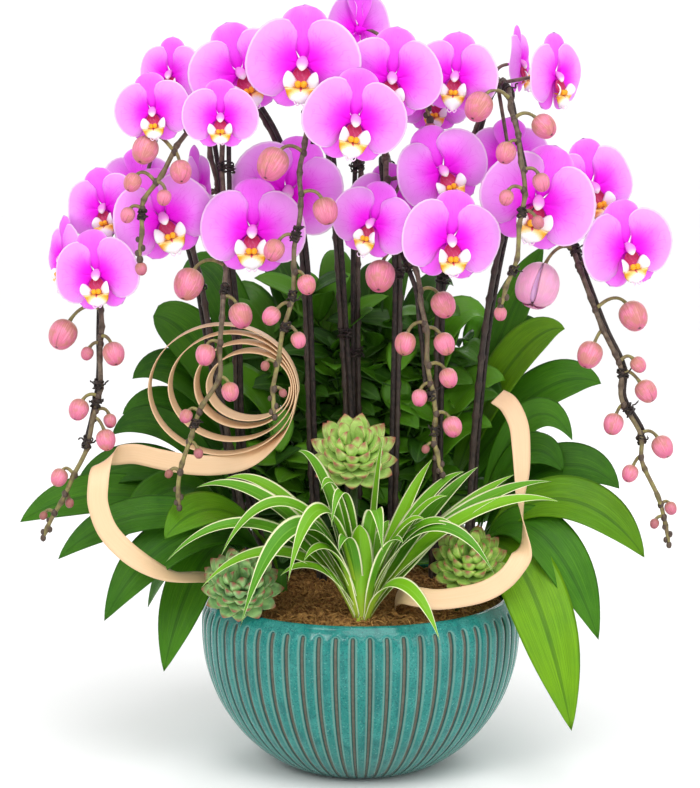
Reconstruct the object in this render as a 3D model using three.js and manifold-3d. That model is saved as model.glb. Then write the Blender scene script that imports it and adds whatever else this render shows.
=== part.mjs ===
// A potted arrangement of cascading moth orchids in a ribbed, glazed bowl.
// Millimetres, +Z up. The origin is the centre of the bowl's flat foot and the front
// of the arrangement faces -Y. Every stem, crown and strip stands in a plain hole in
// the potting medium.

import * as THREE from 'three';
import { mergeVertices } from 'three/addons/utils/BufferGeometryUtils.js';
import Module from 'manifold-3d';

const wasm = await Module();
wasm.setup();

// Driving dimensions of the bowl
const bowl = {
  height: 177,
  radius: 163,
  widestAt: 148,
  footRadius: 68.5,
  rimRadius: 154,
  lipInset: 6,
  lipDrop: 3,
  floor: 12,
  floorRadius: 56,
  ribs: 60,
  ribDepth: 3.2,
  ribTop: 163,
  radiusPower: 1.43,
  heightPower: 0.893,
};

// Driving dimensions of the potting medium and of the fits
const medium = {
  edgeHeight: 168,
  edgeRadius: 138,
  shoulderDrop: 5,
  shoulderRadius: 70,
  crownHeight: 187,
  gap: 0.3,
  holeFloor: 148,
  holeTop: 230,
};
const seatGap = 0.3;

// Driving dimensions of the stems, wires and blades. Whatever stands in a hole goes
// straight up to straightTop before it leans.
const stem = { baseRadius: 3.1, tipRadius: 1.7, pedicelRadius: 1.3, stalkRadius: 1.1, sides: 4 };
const straightTop = 196;
const wire = { radius: 1.8, offset: 6.8, sides: 3 };
const tie = { bar: 1.2, clearance: 1.3, segments: 6 };
const blade = { petal: 1.6, leaf: 2.2, grass: 1.4, veneer: 0.9 };
const veneerWidth = 20;

// Small vector helpers
const vec = (x, y, z) => new THREE.Vector3(x, y, z);
const fromArray = (a) => new THREE.Vector3(a[0], a[1], a[2]);
const radians = THREE.MathUtils.degToRad;
const up = vec(0, 0, 1);

// Repeatable random numbers in 0..1 from a whole-number seed
function randomFrom(seed) {
  let state = seed;
  return () => {
    state = (state * 1664525 + 1013904223) % 4294967296;
    return state / 4294967296;
  };
}

// Joins two rings of points by triangles, whatever their counts; a ring of one is a tip
function stitch(faces, a, aCount, b, bCount) {
  let i = 0;
  let j = 0;
  const aSteps = aCount > 1 ? aCount : 0;
  const bSteps = bCount > 1 ? bCount : 0;
  while (i < aSteps || j < bSteps) {
    const stepA = j === bSteps || (i < aSteps && (i + 1) / aSteps <= (j + 1) / bSteps);
    if (stepA) {
      faces.push(a + (i % aCount), a + ((i + 1) % aCount), b + (j % bCount));
      i += 1;
    } else {
      faces.push(a + (i % aCount), b + ((j + 1) % bCount), b + (j % bCount));
      j += 1;
    }
  }
}

// Six times the signed volume that the triangles enclose
function signedVolume(points, faces) {
  let sum = 0;
  for (let k = 0; k < faces.length; k += 3) {
    const [a, b, c] = [points[faces[k]], points[faces[k + 1]], points[faces[k + 2]]];
    sum += a.dot(b.clone().cross(c));
  }
  return sum;
}

// A closed surface from points and triangles, turned so that its faces point out
function closedSurface(points, faces) {
  const turned = signedVolume(points, faces) < 0 ? faces.slice().reverse() : faces;
  const geometry = new THREE.BufferGeometry();
  const flat = points.flatMap((p) => [p.x, p.y, p.z]);
  geometry.setAttribute('position', new THREE.Float32BufferAttribute(flat, 3));
  geometry.setIndex(turned);
  return geometry;
}

// A closed loft through rings of points, with flat caps where an end ring isn't a tip
function loft(rings) {
  const points = rings.flat();
  const faces = [];
  let start = 0;
  for (let k = 0; k + 1 < rings.length; k += 1) {
    const next = start + rings[k].length;
    stitch(faces, start, rings[k].length, next, rings[k + 1].length);
    start = next;
  }
  for (let k = 1; k + 1 < rings[0].length; k += 1) {
    faces.push(0, k + 1, k);
  }
  for (let k = 1; k + 1 < rings.at(-1).length; k += 1) {
    faces.push(start, start + k, start + k + 1);
  }
  return closedSurface(points, faces);
}

// A thin blade inside an outline: two fans, a front one and a back one, share the rim
function lens(outline, middle, thickness) {
  const normal = vec(0, 0, 0);
  outline.forEach((p, k) => {
    const q = outline[(k + 1) % outline.length];
    normal.add(p.clone().sub(middle).cross(q.clone().sub(middle)));
  });
  normal.normalize().multiplyScalar(thickness / 2);
  const points = [middle.clone().add(normal), ...outline, middle.clone().sub(normal)];
  const faces = [];
  stitch(faces, 0, 1, 1, outline.length);
  stitch(faces, 1, outline.length, 1 + outline.length, 1);
  return closedSurface(points, faces);
}

function circle(sides, place) {
  return Array.from({ length: sides }, (_, k) => {
    const angle = (2 * Math.PI * k) / sides;
    return place(Math.cos(angle), Math.sin(angle), k);
  });
}

function bezierPath(p0, p1, p2, p3, steps) {
  return new THREE.CubicBezierCurve3(p0, p1, p2, p3).getPoints(steps);
}

// Directions along a path at each of its points
function tangents(path) {
  return path.map((p, k) => {
    const before = path[Math.max(k - 1, 0)];
    const after = path[Math.min(k + 1, path.length - 1)];
    return after.clone().sub(before).normalize();
  });
}

// Side directions square to the path that turn as little as possible along it
function carriedSides(path, first) {
  const along = tangents(path);
  let side = first.clone();
  return along.map((t) => {
    side = side.clone().addScaledVector(t, -side.dot(t)).normalize();
    return side;
  });
}

// A round bar along a path, with a radius for each point; radius 0 makes a tip
function bar(path, radii, sides, firstSide = vec(1, 0.2, 0.1)) {
  const along = tangents(path);
  const across = carriedSides(path, firstSide);
  return loft(path.map((p, k) => {
    if (radii[k] === 0) {
      return [p];
    }
    const other = along[k].clone().cross(across[k]);
    return circle(sides, (c, s) => p.clone()
      .addScaledVector(across[k], c * radii[k])
      .addScaledVector(other, s * radii[k]));
  }));
}

// Solids for joining and cutting
function toSolid(geometry) {
  const bare = geometry.clone();
  bare.deleteAttribute('normal');
  bare.deleteAttribute('uv');
  const merged = mergeVertices(bare, 1e-4);
  return new wasm.Manifold(new wasm.Mesh({
    numProp: 3,
    vertProperties: new Float32Array(merged.attributes.position.array),
    triVerts: new Uint32Array(merged.index.array),
  }));
}

function toGeometry(solid) {
  const mesh = solid.getMesh();
  const geometry = new THREE.BufferGeometry();
  const flat = [];
  for (let k = 0; k < mesh.vertProperties.length; k += mesh.numProp) {
    flat.push(...mesh.vertProperties.slice(k, k + 3));
  }
  geometry.setAttribute('position', new THREE.Float32BufferAttribute(flat, 3));
  geometry.setIndex(Array.from(mesh.triVerts));
  return geometry;
}

function fuse(geometries) {
  return toGeometry(wasm.Manifold.union(geometries.map(toSolid)));
}

const orchids = new THREE.Group();

function addNode(name, geometry, look) {
  const mesh = new THREE.Mesh(geometry, new THREE.MeshStandardMaterial(look));
  mesh.name = name;
  orchids.add(mesh);
  return mesh;
}

const looks = {
  glaze: { color: 0x2f8f8a, roughness: 0.22, metalness: 0 },
  medium: { color: 0x6b4a2c, roughness: 0.95, metalness: 0 },
  petal: { color: 0xe884ee, roughness: 0.5, metalness: 0 },
  spike: { color: 0x7d5a4a, roughness: 0.55, metalness: 0 },
  stake: { color: 0x2a1c18, roughness: 0.6, metalness: 0 },
  leaf: { color: 0x2c6b2a, roughness: 0.35, metalness: 0 },
  filler: { color: 0x24552a, roughness: 0.45, metalness: 0 },
  grass: { color: 0x9cc66a, roughness: 0.45, metalness: 0 },
  rosette: { color: 0x7fa070, roughness: 0.55, metalness: 0 },
  veneer: { color: 0xe9cf9f, roughness: 0.6, metalness: 0 },
};

// The bowl's outer profile: a rounded belly from the foot to the widest point, and
// above it a short shoulder that leans in to the rim. The run goes from 0 to 1.
function bellyPoint(run) {
  const x = (run * Math.PI) / 2;
  const grow = Math.sin(x) ** bowl.radiusPower;
  const radius = bowl.footRadius + (bowl.radius - bowl.footRadius) * grow;
  const z = bowl.widestAt * (1 - Math.cos(x) ** bowl.heightPower);
  return [radius, z];
}

function roundRow(radius, z, count) {
  return circle(count, (c, s) => vec(radius * c, radius * s, z));
}

function ribbedRow(radius, z) {
  return circle(bowl.ribs * 2, (c, s, k) => {
    const r = radius - (k % 2) * bowl.ribDepth;
    return vec(r * c, r * s, z);
  });
}

// Inner radius at a height, a wall thickness in from the belly; the medium follows it
const innerRows = [[88, 30], [138, 96], [146, 158]];
const bowlSides = 20;

function bowlGeometry() {
  const rings = [[vec(0, 0, 0)], roundRow(bowl.footRadius - 1, 0, bowl.ribs)];
  [0.12, 0.42, 0.72].forEach((run) => {
    const [radius, z] = bellyPoint(run);
    rings.push(ribbedRow(radius, z));
  });
  rings.push(ribbedRow(bowl.radius, bowl.widestAt));
  rings.push(roundRow(bowl.radius - 1.2, bowl.ribTop, bowl.ribs));
  rings.push(roundRow(bowl.rimRadius, bowl.height, bowl.ribs));
  rings.push(roundRow(bowl.rimRadius - bowl.lipInset, bowl.height - bowl.lipDrop, bowl.ribs));
  innerRows.slice().reverse().forEach(([radius, z]) => rings.push(roundRow(radius, z, bowlSides)));
  rings.push(roundRow(bowl.floorRadius, bowl.floor, bowlSides));
  rings.push([vec(0, 0, bowl.floor)]);
  return loft(rings);
}

// A straight peg-shaped cutter or stub of even sides, upright at [x, y]
function upright(x, y, low, high, halfX, halfY, sides) {
  return loft([low, high].map((z) => circle(sides, (c, s) => vec(x + halfX * c, y + halfY * s, z))));
}

// The medium fills the bowl up to a low mound, with a plain hole for each thing in it
function mediumGeometry(holes) {
  const gap = medium.gap / Math.cos(Math.PI / bowlSides);
  const bottom = bowl.floor + gap;
  const rings = [[vec(0, 0, bottom)], roundRow(bowl.floorRadius - gap, bottom, bowlSides)];
  innerRows.forEach(([radius, z], k) => {
    const last = k === innerRows.length - 1;
    rings.push(roundRow(radius - 2 * gap, last ? medium.edgeHeight - 6 : z + gap, bowlSides));
  });
  rings.push(roundRow(medium.edgeRadius, medium.edgeHeight, bowlSides));
  rings.push(roundRow(medium.shoulderRadius, medium.crownHeight - medium.shoulderDrop, 12));
  rings.push([vec(0, 0, medium.crownHeight)]);
  const body = toSolid(loft(rings));
  const cutters = holes.map((h) => {
    return toSolid(upright(h.x, h.y, medium.holeFloor, medium.holeTop, h.halfX, h.halfY, h.sides));
  });
  return toGeometry(body.subtract(wasm.Manifold.union(cutters)));
}

// Every bloom: where its column is, half its span, and which way it looks in degrees.
// Yaw turns it to the right, tilt up, roll counter-clockwise as seen from the front,
// and cup bends its petals forward.
const blooms = [
  { name: 'bloom_01', spike: 'far_left', at: [-196, -140, 670], size: 37, yaw: -8, roll: 7 },
  { name: 'bloom_02', spike: 'far_left', at: [-253, -118, 514], size: 44, yaw: -18, roll: 9 },
  { name: 'bloom_03', spike: 'far_left', at: [-290, -62, 524], size: 42, yaw: -62, roll: 12 },
  { name: 'bloom_04', spike: 'far_left', at: [-250, -70, 574], size: 40, yaw: -20, roll: 14 },
  { name: 'bloom_05', spike: 'far_left', at: [-222, 4, 590], size: 39, yaw: 170, roll: 0 },
  { name: 'bloom_06', spike: 'upper_left', at: [-190, -105, 567], size: 49, yaw: 8, roll: 19 },
  { name: 'bloom_07', spike: 'upper_left', at: [-132, -150, 665], size: 36, yaw: 0, roll: 0, cup: 0.35 },
  { name: 'bloom_08', spike: 'left_middle', at: [-115, -115, 705], size: 49, yaw: 10, roll: 16 },
  { name: 'bloom_09', spike: 'centre_left', at: [-55, -152, 715], size: 54, yaw: -6, roll: 0 },
  { name: 'bloom_10', spike: 'centre_back', at: [-7, -174, 663], size: 49, yaw: 8, roll: -7 },
  { name: 'bloom_11', spike: 'centre_right', at: [28, -130, 701], size: 48, yaw: 0, roll: -6 },
  { name: 'bloom_12', spike: 'upper_right', at: [89, -105, 702], size: 42, yaw: -15, roll: -6 },
  { name: 'bloom_13', spike: 'upper_right', at: [70, -60, 677], size: 37, yaw: -5, roll: 0 },
  { name: 'bloom_14', spike: 'centre_right', at: [-3, -60, 746], size: 41, yaw: -140, roll: 0 },
  { name: 'bloom_15', spike: 'left_middle', at: [-104, -112, 555], size: 51, yaw: 0, roll: -2 },
  { name: 'bloom_16', spike: 'centre_left', at: [-72, -75, 590], size: 56, yaw: 5, roll: -20 },
  { name: 'bloom_17', spike: 'centre_back', at: [10, -115, 563], size: 41, yaw: -15, roll: -16 },
  { name: 'bloom_18', spike: 'centre_back', at: [26, -50, 576], size: 41, yaw: 10, roll: 0 },
  { name: 'bloom_19', spike: 'centre_right', at: [78, -98, 612], size: 46, yaw: 10, roll: 23 },
  { name: 'bloom_20', spike: 'centre_right', at: [82, -142, 553], size: 49, yaw: 8, roll: -7 },
  { name: 'bloom_21', spike: 'far_right', at: [168, -115, 583], size: 56, yaw: -5, roll: -20 },
  { name: 'bloom_22', spike: 'far_right', at: [224, -65, 594], size: 48, yaw: 28, roll: 10 },
  { name: 'bloom_23', spike: 'far_right', at: [258, -95, 535], size: 47, yaw: 20, roll: 4 },
  { name: 'bloom_24', spike: 'upper_right', at: [187, -75, 701], size: 42, yaw: 50, roll: 0 },
  { name: 'bloom_25', spike: 'upper_right', at: [156, -14, 712], size: 38, yaw: 72, roll: 0 },
  { name: 'bloom_26', spike: 'upper_left', at: [-160, -54, 592], size: 42, yaw: 75, roll: 0,
    root: [-142, 0, 585], bow: 18 },
  { name: 'bloom_27', spike: 'upper_left', at: [-184, -70, 703], size: 36, yaw: -30, roll: 0 },
  { name: 'bloom_28', spike: 'upper_right', at: [144, -45, 620], size: 41, yaw: 180, roll: 0 },
];

// Outlines of one bloom as shares of its half span: x to the right, z towards the top
// sepal, y back. The left petal and the left halves mirror the right ones.
const outlines = {
  petal: [[0.03, 0.03], [0.12, 0.50], [0.38, 0.77], [0.68, 0.69], [0.94, 0.38], [0.98, -0.05],
    [0.80, -0.38], [0.50, -0.50], [0.27, -0.34]],
  topSepal: [[0.05, 0.04], [0.33, 0.60], [0.27, 0.90], [0, 1.02]],
  sideSepal: [[0.02, 0.0], [0.13, -0.46], [0.36, -0.66], [0.54, -0.50], [0.24, -0.06]],
  lip: [[0.04, 0.02, -0.05], [0.30, 0.04, -0.20], [0.38, -0.20, -0.24], [0.24, -0.42, -0.22],
    [0, -0.68, -0.18]],
};
const neckEnd = 0.3;

function bothHalves(half) {
  const mirrored = half.slice(0, half.at(-1)[0] === 0 ? -1 : undefined).reverse();
  return [...half, ...mirrored.map(([x, z, y = 0]) => [-x, z, y])];
}

// One blade of the bloom, bent by the cup and set back or forward
function bloomBlade(outline, size, cup, setBack, swell, side = 1) {
  const place = ([x, z, y = 0]) => {
    const bend = cup * (x * x + z * z);
    return vec(side * x * size, (y + setBack - bend) * size, z * size);
  };
  const middle = [0, 1].map((i) => outline.reduce((sum, p) => sum + p[i], 0) / outline.length);
  const depth = outline.reduce((sum, p) => sum + (p[2] ?? 0), 0) / outline.length;
  const centre = place([middle[0], middle[1], depth - swell]);
  return lens(outline.map(place), centre, blade.petal);
}

// The column, the blades' common root and the neck behind them, turned about the y axis
function bloomRoot(size) {
  const rows = [[0.05, -0.18], [0.11, 0.03], [0.06, 0.13], [0, neckEnd]];
  const rings = rows.map(([r, y]) => {
    const radius = (r === 0 ? stem.pedicelRadius : r * size) * Math.SQRT1_2;
    return circle(4, (c, s) => vec(radius * (c - s), y * size, radius * (c + s)));
  });
  return loft(rings);
}

function bloomGeometry({ size, cup = 0.05 }) {
  const parts = [bloomRoot(size)];
  [1, -1].forEach((side) => {
    parts.push(bloomBlade(outlines.petal, size, cup, 0, 0.05, side));
    parts.push(bloomBlade(outlines.sideSepal, size, cup, 0.06, 0.01, side));
  });
  parts.push(bloomBlade(bothHalves(outlines.topSepal), size, cup, 0.06, 0.01));
  parts.push(bloomBlade(bothHalves(outlines.lip), size, 0, 0, -0.02));
  return fuse(parts);
}

function bloomTurn({ yaw, roll, tilt = 0 }) {
  return new THREE.Euler(-radians(tilt), -radians(roll), radians(yaw), 'ZXY');
}

// Every flower spike: the smooth route of its stem from the medium up, over and down its
// chain of buds, how far its wire follows it, where the ties are as shares of the wire,
// and its buds as centre and radius.
const spikes = {
  far_left: {
    route: [[-104, -8], [-120, -6, 260], [-140, -3, 370], [-153, 0, 446], [-162, -5, 501],
      [-175, -10, 546], [-200, -18, 569], [-225, -30, 567], [-245, -50, 547], [-252, -68, 514],
      [-254, -82, 457], [-254, -86, 420], [-258, -87, 385], [-270, -90, 339], [-286, -90, 304],
      [-299, -90, 281], [-313, -90, 251]],
    wireSide: [-1, 1],
    wireShare: 0.86,
    ties: [0.9],
    buds: [[-291, -84, 452, 13.7], [-267, -88, 434, 6.1], [-240, -98, 435, 10.6],
      [-276, -90, 379, 9.7], [-246, -84, 367, 6.4], [-249, -96, 350, 9.5], [-296, -92, 312, 8.2],
      [-287, -84, 285, 4.4], [-312, -92, 274, 3.9]],
  },
  upper_left: {
    route: [[-92, 14], [-108, 12, 240], [-124, 8, 332], [-127, 8, 430], [-133, 5, 506],
      [-142, 0, 577], [-149, -8, 627], [-153, -25, 662], [-154, -60, 679], [-156, -92, 676],
      [-161, -122, 658], [-173, -134, 638], [-183, -138, 622], [-194, -140, 604],
      [-206, -140, 583], [-209, -140, 554], [-210, -140, 531]],
    wireSide: [1, -1],
    wireShare: 0.64,
    ties: [0.97],
    buds: [[-204, -140, 634, 12.3], [-170, -146, 614, 10.3], [-216, -144, 604, 8.3],
      [-186, -148, 590, 6.9], [-221, -142, 573, 6.9], [-209, -140, 522, 5.7]],
  },
  left_middle: {
    route: [[-42, 10], [-50, 10, 291], [-56, 10, 475], [-64, 8, 556], [-82, 4, 627],
      [-103, -4, 668], [-118, -22, 684], [-129, -50, 675], [-134, -72, 650], [-134, -84, 607],
      [-133, -86, 559], [-131, -92, 519], [-134, -112, 478], [-136, -118, 443], [-137, -120, 415],
      [-156, -122, 382], [-168, -124, 347], [-177, -125, 313], [-176, -125, 288]],
    wireSide: [1, -1],
    wireShare: 0.58,
    ties: [0.9],
    buds: [[-167, -100, 503, 14.3], [-116, -112, 474, 11.3], [-150, -120, 437, 9.5],
      [-126, -126, 402, 8.4], [-169, -124, 378, 6.2], [-157, -126, 342, 4.6],
      [-186, -126, 322, 3.9]],
  },
  centre_left: {
    route: [[-12, 24], [-13, 24, 260], [-15, 22, 371], [-20, 20, 454], [-25, 14, 536],
      [-33, 2, 627], [-43, -18, 693], [-49, -55, 718], [-50, -98, 708], [-51, -122, 682],
      [-52, -132, 641], [-60, -136, 614], [-56, -138, 582], [-64, -138, 547], [-63, -138, 519],
      [-71, -138, 473], [-80, -138, 438], [-84, -138, 394], [-83, -138, 379]],
    wireSide: [1, -1],
    wireShare: 0.6,
    ties: [0.95],
    buds: [[-84, -142, 621, 14.7], [-34, -142, 577, 11.8], [-83, -144, 540, 9.8],
      [-52, -142, 507, 8.8], [-86, -140, 477, 8.4], [-60, -141, 454, 7.2],
      [-92, -139, 429, 4.3], [-75, -140, 403, 3.8]],
  },
  centre_back: {
    route: [[0, 50], [-2, 50, 280], [-3, 48, 418], [-3, 44, 519], [-1, 34, 610],
      [1, 14, 671], [11, -18, 710], [26, -50, 722], [43, -72, 714], [56, -82, 691],
      [66, -86, 660]],
    wireSide: [-1, -1],
    wireShare: 0.9,
    ties: [0.7],
    buds: [[66, -86, 652, 5.5]],
  },
  centre_right: {
    route: [[33, 13], [36, 12, 321], [38, 12, 421], [39, 8, 493], [36, -2, 557],
      [30, -20, 606], [24, -45, 627], [24, -68, 612], [30, -78, 578], [40, -86, 543],
      [56, -102, 503], [60, -111, 472], [64, -114, 438], [67, -116, 403], [73, -117, 375],
      [70, -118, 350], [79, -118, 319]],
    wireSide: [-1, -1],
    wireShare: 0.84,
    ties: [0.9],
    buds: [[18, -104, 511, 14.3], [79, -110, 484, 11.8], [42, -114, 447, 10.2],
      [80, -116, 447, 10.0], [84, -116, 414, 8.8], [56, -118, 395, 7.6], [88, -120, 367, 9.3],
      [62, -119, 345, 3.9]],
  },
  upper_right: {
    route: [[74, 32], [77, 30, 290], [78, 30, 391], [79, 28, 484], [84, 24, 545],
      [97, 16, 606], [113, 6, 645], [121, -14, 675], [127, -45, 693], [136, -78, 696],
      [141, -108, 683], [144, -126, 663], [147, -140, 642], [152, -152, 616], [151, -159, 588],
      [148, -160, 555], [142, -157, 522], [131, -155, 487]],
    wireSide: [1, -1],
    wireShare: 0.8,
    ties: [0.95],
    buds: [[110, -128, 674, 13.2], [172, -136, 656, 11.1], [135, -150, 632, 9.6],
      [168, -158, 605, 8.1], [135, -162, 591, 6.9], [165, -164, 568, 5.9],
      [131, -155, 481, 6.1]],
  },
  far_right: {
    route: [[102, 8], [110, 10, 240], [115, 10, 332], [124, 10, 433], [135, 6, 508],
      [149, 0, 572], [167, -8, 606], [185, -24, 605], [196, -42, 578], [205, -60, 540],
      [220, -75, 497], [236, -84, 456], [253, -88, 420], [254, -89, 389], [273, -90, 355],
      [275, -90, 327], [292, -90, 291], [301, -90, 256], [303, -90, 244]],
    wireSide: [1, 1],
    wireShare: 0.82,
    ties: [0.96],
    buds: [[171, -92, 501, 20], [265, -84, 470, 13.7], [222, -90, 433, 12.2],
      [270, -88, 423, 7.4], [278, -90, 397, 10.4], [246, -92, 365, 9.8], [295, -90, 342, 10.4],
      [263, -92, 316, 8.0], [304, -90, 281, 6.0], [288, -92, 266, 4.6]],
  },
};
const stemRadius = (share) => THREE.MathUtils.lerp(stem.baseRadius, stem.tipRadius, share);

function nearestStep(path, target) {
  let best = 0;
  path.forEach((p, k) => {
    best = p.distanceTo(target) < path[best].distanceTo(target) ? k : best;
  });
  return best;
}

// A bud on its stalk, one solid: the stalk swells into the bud and closes at its tip
function budGeometry(path, [x, y, z, radius]) {
  const centre = vec(x, y, z);
  const root = path[Math.max(nearestStep(path, centre) - (radius > 5 ? 1 : 0), 0)];
  const out = centre.clone().sub(root);
  const length = out.length();
  out.normalize();
  const large = [[-1.2, stem.stalkRadius / radius], [-0.62, 0.74], [0.3, 1]];
  const rows = radius > 7 ? large : [[-0.1, 1]];
  const distances = [0];
  const radii = [stem.stalkRadius];
  rows.forEach(([shift, share]) => {
    distances.push(Math.max(length + shift * radius, distances.at(-1) + 1));
    radii.push(share * radius);
  });
  distances.push(length + 1.15 * radius);
  radii.push(0);
  const sides = radius > 9.6 ? 5 : 4;
  return bar(distances.map((d) => root.clone().addScaledVector(out, d)), radii, sides);
}

// A pedicel from the stem to just behind a bloom's neck
function pedicelGeometry(path, bloom) {
  const turn = bloomTurn(bloom);
  const back = vec(0, 1, 0).applyEuler(turn);
  const end = fromArray(bloom.at).addScaledVector(back, neckEnd * bloom.size + seatGap);
  const behind = path.filter((p) => p.clone().sub(end).dot(back) > 3);
  const reachable = behind.length > 0 ? behind : path;
  const choice = bloom.root ? path : reachable;
  const root = choice[nearestStep(choice, bloom.root ? fromArray(bloom.root) : end)];
  const reach = end.distanceTo(root) * 0.45;
  const bend = root.clone().lerp(end, 0.35).addScaledVector(back, bloom.bow ?? 0);
  const before = end.clone().addScaledVector(back, reach);
  const points = [...bezierPath(root, bend, before, end, 2).slice(0, 2), end];
  points.splice(2, 0, end.clone().addScaledVector(back, 2));
  return bar(points, points.map(() => stem.pedicelRadius), 3);
}

// Points along the straight pieces of a path, several for each piece
function splitEvenly(path, count) {
  return path.slice(1).flatMap((q, k) => {
    return Array.from({ length: count }, (_, i) => path[k].clone().lerp(q, i / count));
  }).concat(path.at(-1));
}

// A stem's line: straight up out of its hole, then along its route
function stemLine(route) {
  const [foot, ...rest] = route.map(([x, y, z = 0]) => vec(x, y, z));
  return [
    vec(foot.x, foot.y, medium.holeFloor + seatGap),
    vec(foot.x, foot.y, straightTop),
    ...rest,
  ];
}

function spikeGeometry(name) {
  const { route, buds } = spikes[name];
  const points = stemLine(route);
  const radii = points.map((_, k) => stemRadius(k / points.length));
  const fine = splitEvenly(points, 6);
  const parts = [bar(points, radii, stem.sides)];
  buds.forEach((bud) => parts.push(budGeometry(fine, bud)));
  blooms.filter((bloom) => bloom.spike === name).forEach((bloom) => {
    parts.push(pedicelGeometry(fine, bloom));
  });
  return fuse(parts);
}

// A tie is a ring round the stem and the wire, sunk into the wire
function tieGeometry(centre, along, outward, inner) {
  const other = along.clone().cross(outward);
  const near = inner + tie.clearance + tie.bar;
  const far = wire.offset + tie.bar * 0.8;
  const middle = centre.clone().addScaledVector(outward, (far - near) / 2);
  const long = (far + near) / 2;
  const rings = circle(tie.segments, (c, s) => {
    const reach = outward.clone().multiplyScalar(c * long).addScaledVector(other, s * near);
    const spread = reach.clone().normalize().multiplyScalar(tie.bar);
    const lift = along.clone().multiplyScalar(tie.bar * 1.4);
    const p = middle.clone().add(reach);
    return [p.clone().add(spread), p.clone().sub(spread).add(lift), p.clone().sub(spread).sub(lift)];
  });
  const points = rings.flat();
  const faces = [];
  rings.forEach((_, k) => stitch(faces, k * 3, 3, ((k + 1) % rings.length) * 3, 3));
  return closedSurface(points, faces);
}

// The wire stake runs behind the stem, along the first part of its route
function stakeGeometry(name) {
  const { route, wireShare, wireSide, ties } = spikes[name];
  const points = stemLine(route);
  const along = tangents(points);
  const outward = carriedSides(points, vec(wireSide[0], wireSide[1], 0));
  const last = Math.round(points.length * wireShare);
  const line = points.slice(0, last).map((p, k) => p.clone().addScaledVector(outward[k], wire.offset));
  const parts = [bar(line, line.map(() => wire.radius), wire.sides)];
  ties.forEach((share) => {
    const k = Math.round((last - 2) * share);
    parts.push(tieGeometry(points[k], along[k], outward[k], stemRadius(k / points.length)));
  });
  return fuse(parts);
}

// An arched blade, pointed at its root and its tip. It stands in the upright plane through
// both, with its widest part at mid length and a shallow keel along its middle.
function archedBlade({ root, tip, rise, width, thickness, keel = 0.16, steps = 5 }) {
  const from = fromArray(root);
  const to = fromArray(tip);
  const span = to.clone().sub(from);
  const first = from.clone().addScaledVector(span, 0.2).add(vec(0, 0, rise));
  const second = from.clone().addScaledVector(span, 0.68).add(vec(0, 0, rise));
  const path = bezierPath(from, first, second, to, steps);
  const level = vec(span.x, span.y, 0).cross(up).normalize();
  const along = tangents(path);
  return loft(path.map((p, k) => {
    const share = k / steps;
    if (share === 0 || share === 1) {
      return [p];
    }
    const face = level.clone().cross(along[k]).normalize();
    const half = (width / 2) * Math.sin(Math.PI * share ** 0.85) ** 0.7;
    const lift = half * keel;
    return [
      p.clone().addScaledVector(level, -half).addScaledVector(face, lift),
      p.clone().addScaledVector(face, lift - thickness),
      p.clone().addScaledVector(level, half).addScaledVector(face, lift),
    ];
  }));
}

// Fans of orchid leaves: the place of each crown, and its leaves as tip, rise and width
const leafFans = {
  leaves_left_front: {
    crown: [-82, -24],
    leaves: [
      { tip: [-251, -124, 175], rise: 96, width: 48 },
      { tip: [-295, -102, 238], rise: 84, width: 48 },
      { tip: [-190, -136, 260], rise: 62, width: 38 },
    ],
  },
  leaves_left: {
    crown: [-120, 36],
    leaves: [
      { tip: [-210, -70, 116], rise: 66, width: 46 },
      { tip: [-225, 80, 140], rise: 66, width: 44 },
      { tip: [-250, 10, 190], rise: 74, width: 44 },
      { tip: [-340, -40, 262], rise: 60, width: 48 },
      { tip: [-292, 20, 300], rise: 85, width: 46 },
    ],
  },
  leaves_left_back: {
    crown: [-84, 78],
    leaves: [
      { tip: [-215, 165, 250], rise: 70, width: 48 },
      { tip: [-250, 70, 350], rise: 85, width: 50 },
      { tip: [-215, 84, 445], rise: 110, width: 54 },
      { tip: [-190, 130, 485], rise: 140, width: 46 },
    ],
  },
  leaves_right_front: {
    crown: [110, -16],
    leaves: [
      { tip: [206, -140, 68], rise: 120, width: 50 },
      { tip: [235, -104, 152], rise: 98, width: 50 },
      { tip: [282, -74, 227], rise: 90, width: 52 },
    ],
  },
  leaves_right: {
    crown: [116, 34],
    leaves: [
      { tip: [225, 0, 196], rise: 60, width: 45 },
      { tip: [240, 60, 236], rise: 66, width: 44 },
      { tip: [259, 8, 289], rise: 80, width: 50 },
      { tip: [206, 30, 345], rise: 100, width: 42 },
    ],
  },
  leaves_right_back: {
    crown: [80, 84],
    leaves: [
      { tip: [220, 150, 290], rise: 70, width: 46 },
      { tip: [244, 78, 385], rise: 90, width: 50 },
      { tip: [208, 74, 445], rise: 115, width: 50 },
      { tip: [165, 118, 465], rise: 140, width: 46 },
    ],
  },
  leaves_back: {
    crown: [0, 122],
    leaves: [
      { tip: [-120, 235, 200], rise: 66, width: 52 },
      { tip: [115, 235, 210], rise: 70, width: 52 },
      { tip: [-10, 275, 262], rise: 85, width: 54 },
      { tip: [-70, 215, 345], rise: 110, width: 50 },
      { tip: [60, 210, 360], rise: 130, width: 50 },
    ],
  },
};
const crownRadius = 8;
const leafRoot = { height: 188, step: 6 };

function leafFanGeometry({ crown: [x, y], leaves }) {
  const top = leafRoot.height + leafRoot.step * leaves.length;
  const parts = [upright(x, y, medium.holeFloor + seatGap, top, crownRadius, crownRadius, 6)];
  leaves.forEach(({ tip, rise, width }, k) => {
    const out = vec(tip[0] - x, tip[1] - y, 0).setLength(crownRadius * 0.2);
    const root = [x + out.x, y + out.y, leafRoot.height + leafRoot.step * k];
    parts.push(archedBlade({ root, tip, rise, width, thickness: blade.leaf }));
  });
  return fuse(parts);
}

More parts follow.
